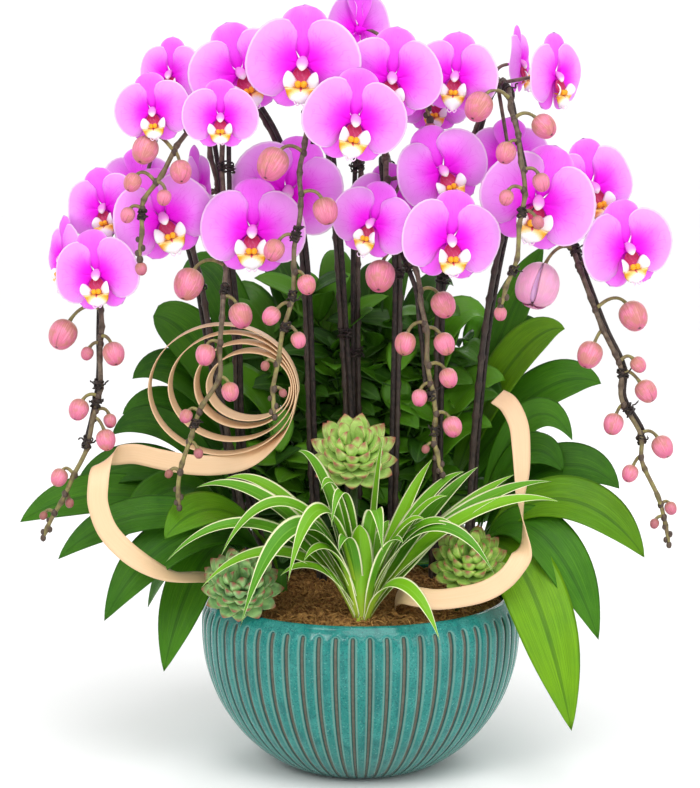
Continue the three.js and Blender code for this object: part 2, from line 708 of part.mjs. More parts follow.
// A bushy filler plant behind the spikes: branches with small pointed leaves
const filler = {
  foot: [-24, 86],
  trunkTop: [-10, 88, 400],
  trunkRadius: 3,
  branches: [
    { from: 230, tip: [-74, 100, 360] },
    { from: 262, tip: [56, 98, 390] },
    { from: 294, tip: [-66, 92, 445] },
    { from: 326, tip: [40, 94, 465] },
    { from: 358, tip: [-18, 92, 480] },
  ],
  leavesEach: 3,
  leafLength: 62,
  leafWidth: 27,
};

function fillerGeometry() {
  const random = randomFrom(11);
  const foot = vec(...filler.foot, medium.holeFloor + seatGap);
  const top = fromArray(filler.trunkTop);
  const base = vec(...filler.foot, straightTop);
  const trunk = [foot, base, top];
  const parts = [bar(trunk, trunk.map(() => filler.trunkRadius), 5)];
  filler.branches.forEach(({ from, tip: end }, branch) => {
    const start = base.clone().lerp(top, (from - base.z) / (top.z - base.z));
    const to = fromArray(end);
    const path = [start, start.clone().lerp(to, 0.5).add(vec(0, 0, -10)), to];
    parts.push(bar(path, [1.8, 1.6, 1.2], 3));
    for (let k = 0; k < filler.leavesEach; k += 1) {
      const root = path[1].clone().lerp(to, 0.15 + (0.8 * k) / (filler.leavesEach - 1));
      const angle = branch + k * 2.2 + random() * 0.6;
      const length = filler.leafLength * (0.8 + 0.4 * random());
      const tip = [root.x + Math.cos(angle) * length, root.y + Math.sin(angle) * length * 0.4,
        root.z + length * (0.1 + random() * 0.6)];
      parts.push(archedBlade({
        root: root.toArray(), tip, rise: 12, width: filler.leafWidth, thickness: blade.leaf, steps: 3,
      }));
    }
  });
  return fuse(parts);
}

// The striped grass plant at the front rim: long narrow blades from one crown
const grass = {
  crown: [1, -112],
  crownRadius: 11,
  crownTop: 204,
  rootHeight: 184,
  rootStep: 4,
  blades: [
    { tip: [-159, -150, 313], rise: 75, width: 12 },
    { tip: [-134, -95, 310], rise: 60, width: 12 },
    { tip: [-188, -170, 243], rise: 95, width: 13 },
    { tip: [-136, -178, 249], rise: 80, width: 12 },
    { tip: [-155, -150, 213], rise: 70, width: 11 },
    { tip: [-116, -190, 190], rise: 70, width: 12 },
    { tip: [-72, -188, 226], rise: 60, width: 11 },
    { tip: [-64, -130, 346], rise: 50, width: 13 },
    { tip: [-41, -160, 312], rise: 50, width: 12 },
    { tip: [21, -118, 363], rise: 40, width: 13 },
    { tip: [71, -118, 337], rise: 60, width: 12 },
    { tip: [100, -110, 322], rise: 60, width: 12 },
    { tip: [118, -100, 330], rise: 50, width: 12 },
    { tip: [151, -104, 317], rise: 70, width: 12 },
    { tip: [184, -116, 312], rise: 80, width: 12 },
    { tip: [197, -134, 290], rise: 90, width: 12 },
    { tip: [122, -180, 236], rise: 90, width: 12 },
    { tip: [73, -196, 178], rise: 100, width: 12 },
    { tip: [20, -178, 252], rise: 50, width: 13 },
    { tip: [88, -152, 306], rise: 60, width: 12 },
    { tip: [-3, -150, 277], rise: 30, width: 17 },
    { tip: [40, -60, 330], rise: 40, width: 12 },
  ],
};

function grassGeometry() {
  const [x, y] = grass.crown;
  const foot = medium.holeFloor + seatGap;
  const parts = [upright(x, y, foot, grass.crownTop, grass.crownRadius, grass.crownRadius, 6)];
  grass.blades.forEach((each, k) => {
    const out = vec(each.tip[0] - x, each.tip[1] - y, 0).setLength(grass.crownRadius * 0.5);
    const root = [x + out.x, y + out.y, grass.rootHeight + grass.rootStep * (k % 5)];
    parts.push(archedBlade({ ...each, root, thickness: blade.grass, keel: 0.25, steps: 4 }));
  });
  return fuse(parts);
}

// Succulent rosettes: rings of thick pointed leaves round a short stalk
const rosettes = {
  succulent_centre: { foot: [-7, -56], head: [-7, -60, 322], radius: 42 },
  succulent_left: { foot: [-98, -74], head: [-116, -88, 204], radius: 37 },
  succulent_right: { foot: [94, -74], head: [107, -86, 218], radius: 36 },
};
const rosetteStalk = 4;
const rosetteCore = 7;
const rosetteRings = [
  { count: 7, reach: 1.0, drop: 0, root: 0.05, turn: 0 },
  { count: 5, reach: 0.72, drop: 0.4, root: 0.24, turn: 0.4 },
  { count: 3, reach: 0.42, drop: 0.6, root: 0.42, turn: 0.1 },
];

function rosetteGeometry({ foot, head: [x, y, z], radius }) {
  const stalk = [vec(...foot, medium.holeFloor + seatGap), vec(...foot, 190), vec(x, y, z + 3)];
  const parts = [bar(stalk, stalk.map(() => rosetteStalk), 5, vec(1, 0, 0))];
  const core = [0, 0.5, 1.0].map((h) => vec(x, y, z + h * radius));
  parts.push(bar(core, [rosetteCore, rosetteCore, 0], 5));
  rosetteRings.forEach((ring) => {
    for (let k = 0; k < ring.count; k += 1) {
      const angle = ring.turn + (2 * Math.PI * k) / ring.count;
      const out = vec(Math.cos(angle), Math.sin(angle), 0);
      const base = vec(x, y, z + ring.root * radius);
      const tip = base.clone().addScaledVector(out, ring.reach * radius);
      tip.z += ring.drop * radius;
      base.addScaledVector(out, 2);
      parts.push(archedBlade({
        root: base.toArray(),
        tip: tip.toArray(),
        rise: -2,
        width: radius * 0.36,
        thickness: radius * 0.13,
        keel: 0.2,
        steps: 2,
      }));
    }
  });
  return fuse(parts);
}

// Wood veneer strips: a flat section carried along a route, with its width direction
function veneerGeometry(path, widths) {
  const along = tangents(path);
  return loft(path.map((p, k) => {
    const w = widths[k].clone().addScaledVector(along[k], -widths[k].dot(along[k])).normalize();
    const n = w.clone().cross(along[k]);
    const half = veneerWidth / 2;
    const corners = [[half, 1], [half, -1], [-half, -1], [-half, 1]];
    return corners.map(([a, b]) => p.clone().addScaledVector(w, a)
      .addScaledVector(n, (b * blade.veneer) / 2));
  }));
}

// The left strip is a flat coil of nested loops that touch at the right, then a tail
const coil = {
  turns: 4,
  right: [-62, -45, 396],
  radiusX: [38, 75],
  radiusZ: [31, 70],
  pitch: 1.6,
  stepsPerTurn: 12,
  axis: vec(0.3, 1, 0.3),
};
const leftTail = [
  { at: [-135, -50, 309], width: [0.3, 1, 0.6] },
  { at: [-178, -85, 322], width: [0, 0.5, 1] },
  { at: [-226, -112, 340], width: [0, 0.2, 1] },
  { at: [-256, -126, 322], width: [-0.6, 0, 0.6] },
  { at: [-262, -136, 285], width: [-1, 0, 0.2] },
  { at: [-244, -146, 250], width: [-0.8, 0, -0.8] },
  { at: [-210, -148, 224], width: [-0.3, 0, -1] },
  { at: [-176, -122, 214], width: [0, 0, -1] },
  { at: [-158, -82, 208], width: [0, 0, -1] },
  { at: [-140, -44, 202], width: [0.6, 0, -1] },
  { at: [-124, -22, 186], width: [1, 0, 0] },
  { at: [-124, -22, 148], width: [1, 0, 0] },
];
const rightStrip = [
  { at: [38, -88, 148], width: [1, 0, 0] },
  { at: [38, -88, 190], width: [1, 0, 0] },
  { at: [56, -114, 205], width: [0.4, 0.5, 1] },
  { at: [99, -132, 200], width: [0, 0.4, 1] },
  { at: [138, -128, 213], width: [-0.2, 0, 1] },
  { at: [157, -112, 236], width: [-0.8, 0, 0.6] },
  { at: [160, -100, 256], width: [-0.9, 0.4, 0.2] },
  { at: [154, -94, 276], width: [-0.5, 0.9, 0] },
  { at: [160, -80, 303], width: [-0.9, 0.3, 0] },
  { at: [166, -54, 338], width: [-1, 0, 0.4] },
  { at: [148, -34, 368], width: [-0.8, 0, 0.7] },
  { at: [134, -22, 384], width: [-0.8, 0, 0.7] },
];

function leftStripGeometry() {
  const path = [];
  const widths = [];
  const steps = coil.turns * coil.stepsPerTurn + 1;
  for (let k = 0; k <= steps; k += 1) {
    const turn = k / coil.stepsPerTurn;
    const share = turn / coil.turns;
    const angle = -2 * Math.PI * turn;
    const rx = THREE.MathUtils.lerp(coil.radiusX[0], coil.radiusX[1], share);
    const rz = THREE.MathUtils.lerp(coil.radiusZ[0], coil.radiusZ[1], share);
    const right = coil.right[0] + coil.pitch * (turn - coil.turns);
    const x = right - rx + rx * Math.cos(angle);
    path.push(vec(x, coil.right[1], coil.right[2] + rz * Math.sin(angle)));
    widths.push(coil.axis.clone());
  }
  leftTail.forEach(({ at, width }) => {
    path.push(fromArray(at));
    widths.push(fromArray(width));
  });
  return veneerGeometry(path, widths);
}

function stripGeometry(points) {
  return veneerGeometry(points.map((p) => fromArray(p.at)), points.map((p) => fromArray(p.width)));
}

// Holes in the medium, one for each thing that stands in it
function listHoles() {
  const holes = [];
  const fit = (radius, sides) => (radius + seatGap) / Math.cos(Math.PI / sides);
  Object.values(spikes).forEach(({ route: [[x, y]], wireSide }) => {
    const shift = vec(wireSide[0], wireSide[1], 0).setLength(wire.offset / 2);
    const half = fit(wire.offset / 2 + stem.baseRadius, 5);
    holes.push({ x: x + shift.x, y: y + shift.y, halfX: half, halfY: half, sides: 5 });
  });
  Object.values(leafFans).forEach(({ crown: [x, y] }) => {
    holes.push({ x, y, halfX: fit(crownRadius, 6), halfY: fit(crownRadius, 6), sides: 6 });
  });
  const round = [[...filler.foot, filler.trunkRadius], [...grass.crown, grass.crownRadius]];
  Object.values(rosettes).forEach(({ foot }) => round.push([...foot, rosetteStalk]));
  round.forEach(([x, y, radius]) => {
    holes.push({ x, y, halfX: fit(radius, 6), halfY: fit(radius, 6), sides: 6 });
  });
  [leftTail.at(-1), rightStrip[0]].forEach(({ at: [x, y] }) => {
    holes.push({ x, y, halfX: veneerWidth / 2 + 3, halfY: 5, sides: 6 });
  });
  return holes;
}

addNode('pot', bowlGeometry(), looks.glaze);
addNode('potting_medium', mediumGeometry(listHoles()), looks.medium);
Object.keys(spikes).forEach((name) => {
  addNode(`spike_${name}`, spikeGeometry(name), looks.spike);
  addNode(`stake_${name}`, stakeGeometry(name), looks.stake);
});
blooms.forEach((bloom) => {
  const mesh = addNode(bloom.name, bloomGeometry(bloom), looks.petal);
  mesh.position.copy(fromArray(bloom.at));
  mesh.rotation.copy(bloomTurn(bloom));
});
Object.entries(leafFans).forEach(([name, fan]) => addNode(name, leafFanGeometry(fan), looks.leaf));
addNode('filler_foliage', fillerGeometry(), looks.filler);
addNode('striped_grass', grassGeometry(), looks.grass);
Object.entries(rosettes).forEach(([name, each]) => addNode(name, rosetteGeometry(each), looks.rosette));
addNode('veneer_strip_left', leftStripGeometry(), looks.veneer);
addNode('veneer_strip_right', stripGeometry(rightStrip), looks.veneer);

export default orchids;
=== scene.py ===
import math
import bpy
import numpy as np
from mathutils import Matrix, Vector


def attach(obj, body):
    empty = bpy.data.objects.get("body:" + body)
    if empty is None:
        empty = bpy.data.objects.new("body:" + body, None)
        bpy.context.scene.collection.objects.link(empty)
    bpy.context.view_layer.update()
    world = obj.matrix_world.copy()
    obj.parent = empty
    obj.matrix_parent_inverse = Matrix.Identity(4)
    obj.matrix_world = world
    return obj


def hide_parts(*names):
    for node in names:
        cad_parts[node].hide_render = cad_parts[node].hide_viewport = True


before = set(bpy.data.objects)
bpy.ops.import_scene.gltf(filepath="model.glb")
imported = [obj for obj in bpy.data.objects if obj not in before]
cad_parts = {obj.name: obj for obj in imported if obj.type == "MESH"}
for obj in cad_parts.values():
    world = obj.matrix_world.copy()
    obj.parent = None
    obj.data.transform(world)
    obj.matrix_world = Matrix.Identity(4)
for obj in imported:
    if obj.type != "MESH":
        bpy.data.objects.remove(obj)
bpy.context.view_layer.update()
scene = bpy.context.scene
mm = 0.001
print("frame loaded:", len(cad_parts), "nodes")


# camera, at the photograph's angle

camera = {
    "eye": (-0.011, -2.5, 0.760),
    "target": (-0.011, 0.0, 0.381),
    "lens": 114.2,       # millimetres, on a 36 mm sensor
}


def addAimed(data, at, target):
    # a camera or lamp that stands at a place and looks at a target
    thing = bpy.data.objects.new(data.name, data)
    thing.location = at
    thing.rotation_euler = (Vector(target) - Vector(at)).to_track_quat("-Z", "Y").to_euler()
    scene.collection.objects.link(thing)
    return thing


def addCamera(spec):
    data = bpy.data.cameras.new("camera")
    data.lens = spec["lens"]
    data.sensor_width = 36
    data.clip_end = 30
    scene.camera = addAimed(data, spec["eye"], spec["target"])


addCamera(camera)


# small tools for surfaces: every surface is a dictionary with its points, its four-cornered
# faces, a UV place for each point and named values for each point

def named(keys, rows):
    # rows of plain values as dictionaries; a short row leaves the last keys out
    return [dict(zip(keys, row)) for row in rows]


def unit(v):
    return v / np.maximum(np.linalg.norm(v, axis=-1, keepdims=True), 1e-12)


def xyz(x, y, z):
    return np.stack(np.broadcast_arrays(x, y, z), axis=-1)


def shares(rows, cols):
    # from 0 to 1 down a column, and from -1 to 1 along a row
    return np.linspace(0, 1, rows)[:, None], np.linspace(-1, 1, cols)[None]


def smoothStep(low, high, x):
    t = np.clip((x - low) / (high - low), 0, 1)
    return t * t * (3 - 2 * t)


def bell(x, width):
    return np.exp(-(x / width) ** 2)


def thinning(t, v, power, least=0.0):
    # a blade's thickness, which falls to 0 at its rim
    return (1 - v ** 6) * np.sin(np.pi * np.clip(t, least, 1 - least)) ** power


def wave(rng, height, beat, x):
    # a sine of x with a random height, beat and start
    return rng.uniform(*height) * np.sin(rng.uniform(*beat) * x + rng.uniform(0, 6))


def runOf(path):
    return np.concatenate([[0], np.cumsum(np.linalg.norm(np.diff(path, axis=0), axis=1))])


def nearest(path, place):
    return int(np.argmin(np.linalg.norm(path - place, axis=1)))


def turnAbout(axis, degrees):
    # Rodrigues' formula: cos a times I, plus sin a times the cross matrix, plus the axis part
    a = math.radians(degrees)
    x, y, z = unit(np.array(axis, float))
    cross = np.array([[0, -z, y], [z, 0, -x], [-y, x, 0]])
    outer = np.outer([x, y, z], [x, y, z])
    return math.cos(a) * np.eye(3) + math.sin(a) * cross + (1 - math.cos(a)) * outer


def gridFaces(rows, cols):
    # corner numbers of every cell of a grid of rows by cols points
    i, j = np.meshgrid(np.arange(rows - 1), np.arange(cols - 1), indexing="ij")
    a = (i * cols + j).ravel()
    return np.stack([a, a + cols, a + cols + 1, a + 1], axis=1)


def gridSurface(points, u, v, **values):
    # a surface from a grid of points, with u along its rows and v across them
    size = points.shape[:2]
    u = np.reshape(u, (-1, 1)) if np.ndim(u) == 1 else u
    return {
        "points": points.reshape(-1, 3),
        "faces": gridFaces(*size),
        "uv": np.stack([np.broadcast_to(x, size).ravel() for x in (u, v)], axis=1),
        "values": {k: np.broadcast_to(x, size).ravel() for k, x in values.items()},
    }


def joined(surfaces):
    # several surfaces as one; a value that a surface lacks is 0 there
    names = sorted({k for s in surfaces for k in s["values"]})
    starts = np.cumsum([0] + [len(s["points"]) for s in surfaces])
    return {
        "points": np.concatenate([s["points"] for s in surfaces]),
        "faces": np.concatenate([s["faces"] + start for s, start in zip(surfaces, starts)]),
        "uv": np.concatenate([s["uv"] for s in surfaces]),
        "values": {k: np.concatenate([s["values"].get(k, 0 * s["uv"][:, 0]) for s in surfaces])
                   for k in names},
    }


def outward(surface):
    # turns the faces so that the volume that they enclose is positive
    p = surface["points"] - surface["points"].mean(axis=0)
    a, b, c, d = (p[surface["faces"][:, k]] for k in range(4))
    if np.einsum("ij,ij->i", a, np.cross(b, c) + np.cross(c, d)).sum() < 0:
        surface["faces"] = surface["faces"][:, ::-1]
    return surface


def closedBlade(upper, lower, u, v, **values):
    # a closed blade of two grids that meet at their rim
    front, back = (gridSurface(points, u, v, **values) for points in (upper, lower))
    back["faces"] = back["faces"][:, ::-1]
    return outward(joined([front, back]))


def shell(points, thickness, u, v, **values):
    # a thin blade whose faces lie half its thickness to each side of a grid, along its normal
    normal = unit(np.cross(np.gradient(points, axis=0), np.gradient(points, axis=1)))
    off = normal * thickness[..., None] / 2
    return closedBlade(points + off, points - off, u, v, **values)


def carriedSides(path, first):
    # side directions square to the path that turn as little as possible along it
    along = unit(np.gradient(path, axis=0))
    sides = np.empty_like(path)
    side = np.array(first, float)
    for k in range(len(path)):
        side = unit(side - along[k] * side.dot(along[k]))
        sides[k] = side
    return along, sides


def tube(path, radii, sides=12, first=(1, 0.2, 0.1), squash=1.0, **values):
    # centre plus radius times (cos a times the side direction, sin a times the other one)
    path = np.asarray(path, float)
    radii = np.broadcast_to(radii, (len(path),))
    along, across = carriedSides(path, first)
    other = squash * np.cross(across, along)
    turn = np.linspace(0, 2 * np.pi, sides + 1)
    ring = (across[:, None] * np.cos(turn)[None, :, None]
            + other[:, None] * np.sin(turn)[None, :, None])
    points = path[:, None] + ring * radii[:, None, None]
    values = {k: x[:, None] if np.ndim(x) == 1 else x for k, x in values.items()}
    return outward(gridSurface(points, runOf(path), turn / (2 * np.pi), **values))


def rod(path, radii, sides, **values):
    # a tube whose flat ends are closed
    closed = np.concatenate([path[:1], path, path[-1:]])
    radii = np.pad(np.broadcast_to(radii, (len(path),)), 1)
    return tube(closed, radii, sides, **values)


def egg(centre, axis, width, sides, **values):
    # a round knob: a tube along its axis with the radii of a ball
    share = np.linspace(-1, 1, 7)
    path = centre + np.outer(share, axis)
    return tube(path, width * np.sqrt(np.clip(1 - share ** 2, 0, 1)), sides, **values)


def smoothPath(points, steps):
    # Catmull-Rom through the points: on each span a cubic of its two ends and their neighbours
    p = np.asarray(points, float)
    p = np.concatenate([[2 * p[0] - p[1]], p, [2 * p[-1] - p[-2]]])
    t = (np.arange(steps) / steps)[None, :, None]
    a, b, c, d = (p[k:len(p) - 3 + k, None] for k in range(4))
    spans = 0.5 * (2 * b + (c - a) * t + (2 * a - 5 * b + 4 * c - d) * t ** 2
                   + (3 * b - a - 3 * c + d) * t ** 3)
    return np.concatenate([spans.reshape(-1, p.shape[1]), [p[-2]]])


def bezier(p0, p1, p2, p3, steps):
    t = np.linspace(0, 1, steps + 1)[:, None]
    return ((1 - t) ** 3 * p0 + 3 * (1 - t) ** 2 * t * p1
            + 3 * (1 - t) * t ** 2 * p2 + t ** 3 * p3)


def addPiece(name, surface, material, slotName, *nodes):
    # one object at the origin: corners that lie at one place are merged, and a face that
    # loses more than one corner in that goes
    points, faces = surface["points"], surface["faces"]
    places = np.round(points / 2e-6).astype(np.int64)
    _, first, where = np.unique(places, axis=0, return_index=True, return_inverse=True)
    corners = where.ravel()[faces]
    keep = corners != np.roll(corners, 1, axis=1)
    keep &= (keep.sum(axis=1) >= 3)[:, None]
    counts = keep.sum(axis=1)
    counts = counts[counts > 0]
    mesh = bpy.data.meshes.new(name)
    mesh.vertices.add(len(first))
    mesh.vertices.foreach_set("co", points[first].astype(np.float32).ravel())
    mesh.loops.add(int(keep.sum()))
    mesh.loops.foreach_set("vertex_index", corners[keep].astype(np.int32))
    mesh.polygons.add(len(counts))
    starts = np.concatenate([[0], np.cumsum(counts)[:-1]])
    mesh.polygons.foreach_set("loop_start", starts.astype(np.int32))
    mesh.polygons.foreach_set("use_smooth", np.ones(len(counts), bool))
    layer = mesh.uv_layers.new(name="UVMap")
    layer.data.foreach_set("uv", surface["uv"][faces][keep].astype(np.float32).ravel())
    for key, value in surface["values"].items():
        attribute = mesh.attributes.new(key, "FLOAT", "POINT")
        attribute.data.foreach_set("value", value[first].astype(np.float32))
    mesh.update(calc_edges=True)
    mesh.validate()
    mesh.materials.append(material)
    piece = bpy.data.objects.new(name, mesh)
    scene.collection.objects.link(piece)
    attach(piece, "root")
    if nodes:
        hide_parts(*nodes)
    return piece


# small tools for materials; a colour is red, green and blue, and its alpha is 1

def addNode(tree, kind, settings=None, **inputs):
    # a node with its settings and its inputs, each a plain value or another node's output
    node = tree.nodes.new("ShaderNode" + kind)
    for key, value in (settings or {}).items():
        setattr(node, key, value)
    for key, value in inputs.items():
        socket = node.inputs[int(key[1:])] if key[0] == "n" else node.inputs[key]
        if isinstance(value, bpy.types.NodeSocket):
            tree.links.new(value, socket)
        elif socket.type == "RGBA":
            socket.default_value = (*value, 1)
        else:
            socket.default_value = value
    return node


def calculate(tree, operation, a, b=0.0):
    return addNode(tree, "Math", {"operation": operation}, n0=a, n1=b, n2=0.0).outputs[0]


def times(tree, a, b):
    return calculate(tree, "MULTIPLY", a, b)


def plus(tree, a, b):
    return calculate(tree, "ADD", a, b)


def mixColours(tree, share, a, b):
    settings = {"data_type": "RGBA", "blend_type": "MIX"}
    return addNode(tree, "Mix", settings, n0=share, n6=a, n7=b).outputs[2]


def between(tree, value, low, high, toLow=0.0, toHigh=1.0):
    # smooth step of a value from low to high
    return addNode(tree, "MapRange", {"interpolation_type": "SMOOTHSTEP"},
                   n0=value, n1=low, n2=high, n3=toLow, n4=toHigh).outputs[0]


def painted(tree, tone, colour, value, low, high, most=1.0):
    # a colour over the tone where a value runs from low to high, covering it by the most
    return mixColours(tree, between(tree, value, low, high, 0.0, most), tone, colour)


def readValue(tree, name):
    return addNode(tree, "Attribute", {"attribute_name": name}).outputs["Fac"]


def noise(tree, vector, scale, detail=3.0, roughness=0.55, distortion=0.0):
    return addNode(tree, "TexNoise", Vector=vector, Scale=scale, Detail=detail,
                   Roughness=roughness, Distortion=distortion).outputs[0]


def stretched(tree, vector, scale):
    return addNode(tree, "Mapping", n0=vector, Scale=scale).outputs[0]


def newMaterial(name, roughness, **settings):
    # a material with its places; constants go straight on the Principled shader's sockets
    material = bpy.data.materials.new(name)
    material.use_nodes = True
    tree = material.node_tree
    shader = tree.nodes["Principled BSDF"]
    for key, value in {"Roughness": roughness, **settings}.items():
        shader.inputs[key.replace("_", " ")].default_value = value
    place = tree.nodes.new("ShaderNodeTexCoord")
    return material, tree, place.outputs["Object"], place.outputs["UV"]


def finished(material, colour, height=None, depth=0.0, strength=1.0, rough=None):
    tree = material.node_tree
    shader = tree.nodes["Principled BSDF"]
    tree.links.new(colour, shader.inputs["Base Color"])
    if rough is not None:
        tree.links.new(rough, shader.inputs["Roughness"])
    if height is not None:
        bump = addNode(tree, "Bump", Height=height, Strength=strength, Distance=depth)
        tree.links.new(bump.outputs[0], shader.inputs["Normal"])
    return material


def newGroup(name, inputs, outputs):
    # a shader node group with named sockets, each with its kind and its first value
    group = bpy.data.node_groups.new(name, "ShaderNodeTree")
    for key, kind, value in inputs:
        socket = group.interface.new_socket(key, in_out="INPUT", socket_type="NodeSocket" + kind)
        if value is not None:
            socket.default_value = value
    for key, kind in outputs:
        group.interface.new_socket(key, in_out="OUTPUT", socket_type="NodeSocket" + kind)
    return group, group.nodes.new("NodeGroupInput"), group.nodes.new("NodeGroupOutput")


def mottlingGroup():
    # broad and fine cloudiness: a colour that drifts towards a second one
    group, entry, leave = newGroup(
        "mottling",
        [("Vector", "Vector", None), ("Scale", "Float", 20.0), ("Amount", "Float", 0.5),
         ("Colour", "Color", (0.5, 0.5, 0.5, 1)), ("Second", "Color", (0.3, 0.3, 0.3, 1))],
        [("Colour", "Color"), ("Cloud", "Float")])
    cloud = noise(group, entry.outputs["Vector"], entry.outputs["Scale"], 4.0)
    cloud = between(group, cloud, 0.36, 0.66)
    share = times(group, cloud, entry.outputs["Amount"])
    colour = mixColours(group, share, entry.outputs["Colour"], entry.outputs["Second"])
    group.links.new(colour, leave.inputs["Colour"])
    group.links.new(cloud, leave.inputs["Cloud"])
    return group


def veinsGroup():
    # fine lines that run along a blade: noise of the UV place, stretched along u
    group, entry, leave = newGroup(
        "veins",
        [("UV", "Vector", None), ("Across", "Float", 40.0), ("Along", "Float", 2.0),
         ("Sharpness", "Float", 0.1)],
        [("Line", "Float"), ("Streak", "Float")])
    apart = addNode(group, "SeparateXYZ", n0=entry.outputs["UV"])
    across = times(group, apart.outputs[1], entry.outputs["Across"])
    along = times(group, apart.outputs[0], entry.outputs["Along"])
    place = addNode(group, "CombineXYZ", n0=along, n1=across)
    streak = noise(group, place.outputs[0], 1.0, 3.0, 0.6)
    distance = calculate(group, "ABSOLUTE", calculate(group, "SUBTRACT", streak, 0.5))
    line = between(group, distance, 0.0, entry.outputs["Sharpness"], 1.0, 0.0)
    group.links.new(line, leave.inputs["Line"])
    group.links.new(streak, leave.inputs["Streak"])
    return group


mottling = mottlingGroup()
veins = veinsGroup()


def mottled(tree, spot, scale, amount, colour, second):
    return addNode(tree, "Group", {"node_tree": mottling}, Vector=spot, Scale=scale, Amount=amount,
                   Colour=colour, Second=second).outputs[0]


def veined(tree, uv, across, along, sharpness):
    # the fine lines, and the streaks that they are drawn from
    return addNode(tree, "Group", {"node_tree": veins}, UV=uv, Across=across, Along=along,
                   Sharpness=sharpness).outputs[:2]


# floor, backdrop and studio lights

stage = {
    "radius": 16.0,
    "bendRadius": 2.0,
    "top": 8.0,
    "columns": 96,
    "floorColour": (0.97, 0.97, 0.97),
    "palerColour": (0.9894, 0.9894, 0.9894),
    "worldColour": (1.0, 1.0, 1.0, 1),
    "worldStrength": 0.67,
}
lights = {   # place, width and depth of the lamp in metres, watts, tint
    "key": {"at": (-1.6, -2.6, 2.6), "size": (1.0, 1.0), "power": 22, "tint": (1.0, 0.985, 0.96)},
    "fill": {"at": (2.4, -2.2, 1.4), "size": (1.4, 1.4), "power": 12, "tint": (0.97, 0.985, 1.0)},
    "strip": {"at": (0.0, -2.5, 1.9), "size": (4.2, 0.09), "power": 15, "tint": (1.0, 1.0, 1.0)},
    "back": {"at": (0.6, 2.0, 1.6), "size": (1.2, 1.2), "power": 12, "tint": (1.0, 1.0, 1.0)},
}
lightTarget = (0, -0.03, 0.42)
sky = {"from": (0.15, -0.6, 1.0), "strength": 1.15, "spread": 35.0}


def addStage(spec):
    # a round floor that bends up into a wall all round: a disc, a quarter circle, a straight rise
    a = np.linspace(0, np.pi / 2, 12)
    bend = spec["bendRadius"]
    curve = np.stack([spec["radius"] + bend * np.sin(a), bend - bend * np.cos(a)], axis=1)
    rows = np.concatenate([[[0, 0], [2, 0]], curve, [[spec["radius"] + bend, spec["top"]]]])
    turn = np.linspace(0, 2 * np.pi, spec["columns"] + 1)
    points = xyz(rows[:, :1] * np.cos(turn), rows[:, :1] * np.sin(turn), rows[:, 1:])
    mesh = bpy.data.meshes.new("floor")
    mesh.from_pydata(points.reshape(-1, 3).tolist(), [], gridFaces(len(rows), len(turn)).tolist())
    mesh.polygons.foreach_set("use_smooth", [True] * len(mesh.polygons))
    material, tree, spot, uv = newMaterial("floorPaper", 0.9)
    grain = noise(tree, spot, 3.0, 2.0)
    colour = mixColours(tree, grain, spec["floorColour"], spec["palerColour"])
    mesh.materials.append(finished(material, colour))
    floor = bpy.data.objects.new("floor", mesh)
    scene.collection.objects.link(floor)


def addLights(specs, target):
    for name, spec in specs.items():
        data = bpy.data.lights.new(name, "AREA")
        data.shape = "RECTANGLE"
        data.size, data.size_y = spec["size"]
        data.energy = spec["power"]
        data.color = spec["tint"]
        addAimed(data, spec["at"], target)


def addSky(spec):
    # wide soft light from above that reaches the whole floor
    data = bpy.data.lights.new("sky", "SUN")
    data.energy = spec["strength"]
    data.angle = math.radians(spec["spread"])
    addAimed(data, spec["from"], (0, 0, 0))


def addWorld(spec):
    world = bpy.data.worlds.new("studio")
    world.use_nodes = True
    background = world.node_tree.nodes["Background"]
    background.inputs[0].default_value = spec["worldColour"]
    background.inputs[1].default_value = spec["worldStrength"]
    scene.world = world
    scene.view_settings.view_transform = "Standard"


addStage(stage)
addLights(lights, lightTarget)
addSky(sky)
addWorld(stage)
print("stage and lights ready")


# the bowl: rounded ribs under a smooth band, in a speckled turquoise glaze

bowl = {
    "height": 177 * mm,
    "radius": 163 * mm,
    "widestAt": 148 * mm,
    "footRadius": 68.5 * mm,
    "rimRadius": 154 * mm,
    "rows": {"belly": 42, "shoulder": 19, "lip": 9},
    "ribs": 60,
    "ribDepth": 3.4 * mm,
    "ribTop": 169 * mm,
    "archDrop": 3.0 * mm,
    "topFade": 4.5 * mm,
    "footFade": 5 * mm,
    "radiusPower": 1.43,
    "heightPower": 0.893,
    "lipRound": 4.0 * mm,
    "innerRows": [(146.5, 168), (146, 158), (138, 96), (88, 30), (56, 12), (0, 12)],   # in mm
    "grooveEdge": 0.85,      # share of a half rib where the groove's floor starts
    "columns": [0, 0.3, 0.52, 0.67, 0.77, 0.83, 0.87, 1.0],   # shares of a half rib
}


def bellyProfile(spec):
    # radius = foot + (widest - foot) times sin(x) to a power, height = widest height times
    # (1 - cos(x) to a power), with x from 0 to a quarter turn
    x = np.linspace(0.02, 1, spec["rows"]["belly"]) * np.pi / 2
    wider = spec["radius"] - spec["footRadius"]
    r = spec["footRadius"] + wider * np.sin(x) ** spec["radiusPower"]
    z = spec["widestAt"] * (1 - np.abs(np.cos(x)) ** spec["heightPower"])
    return np.stack([r, z], axis=1)


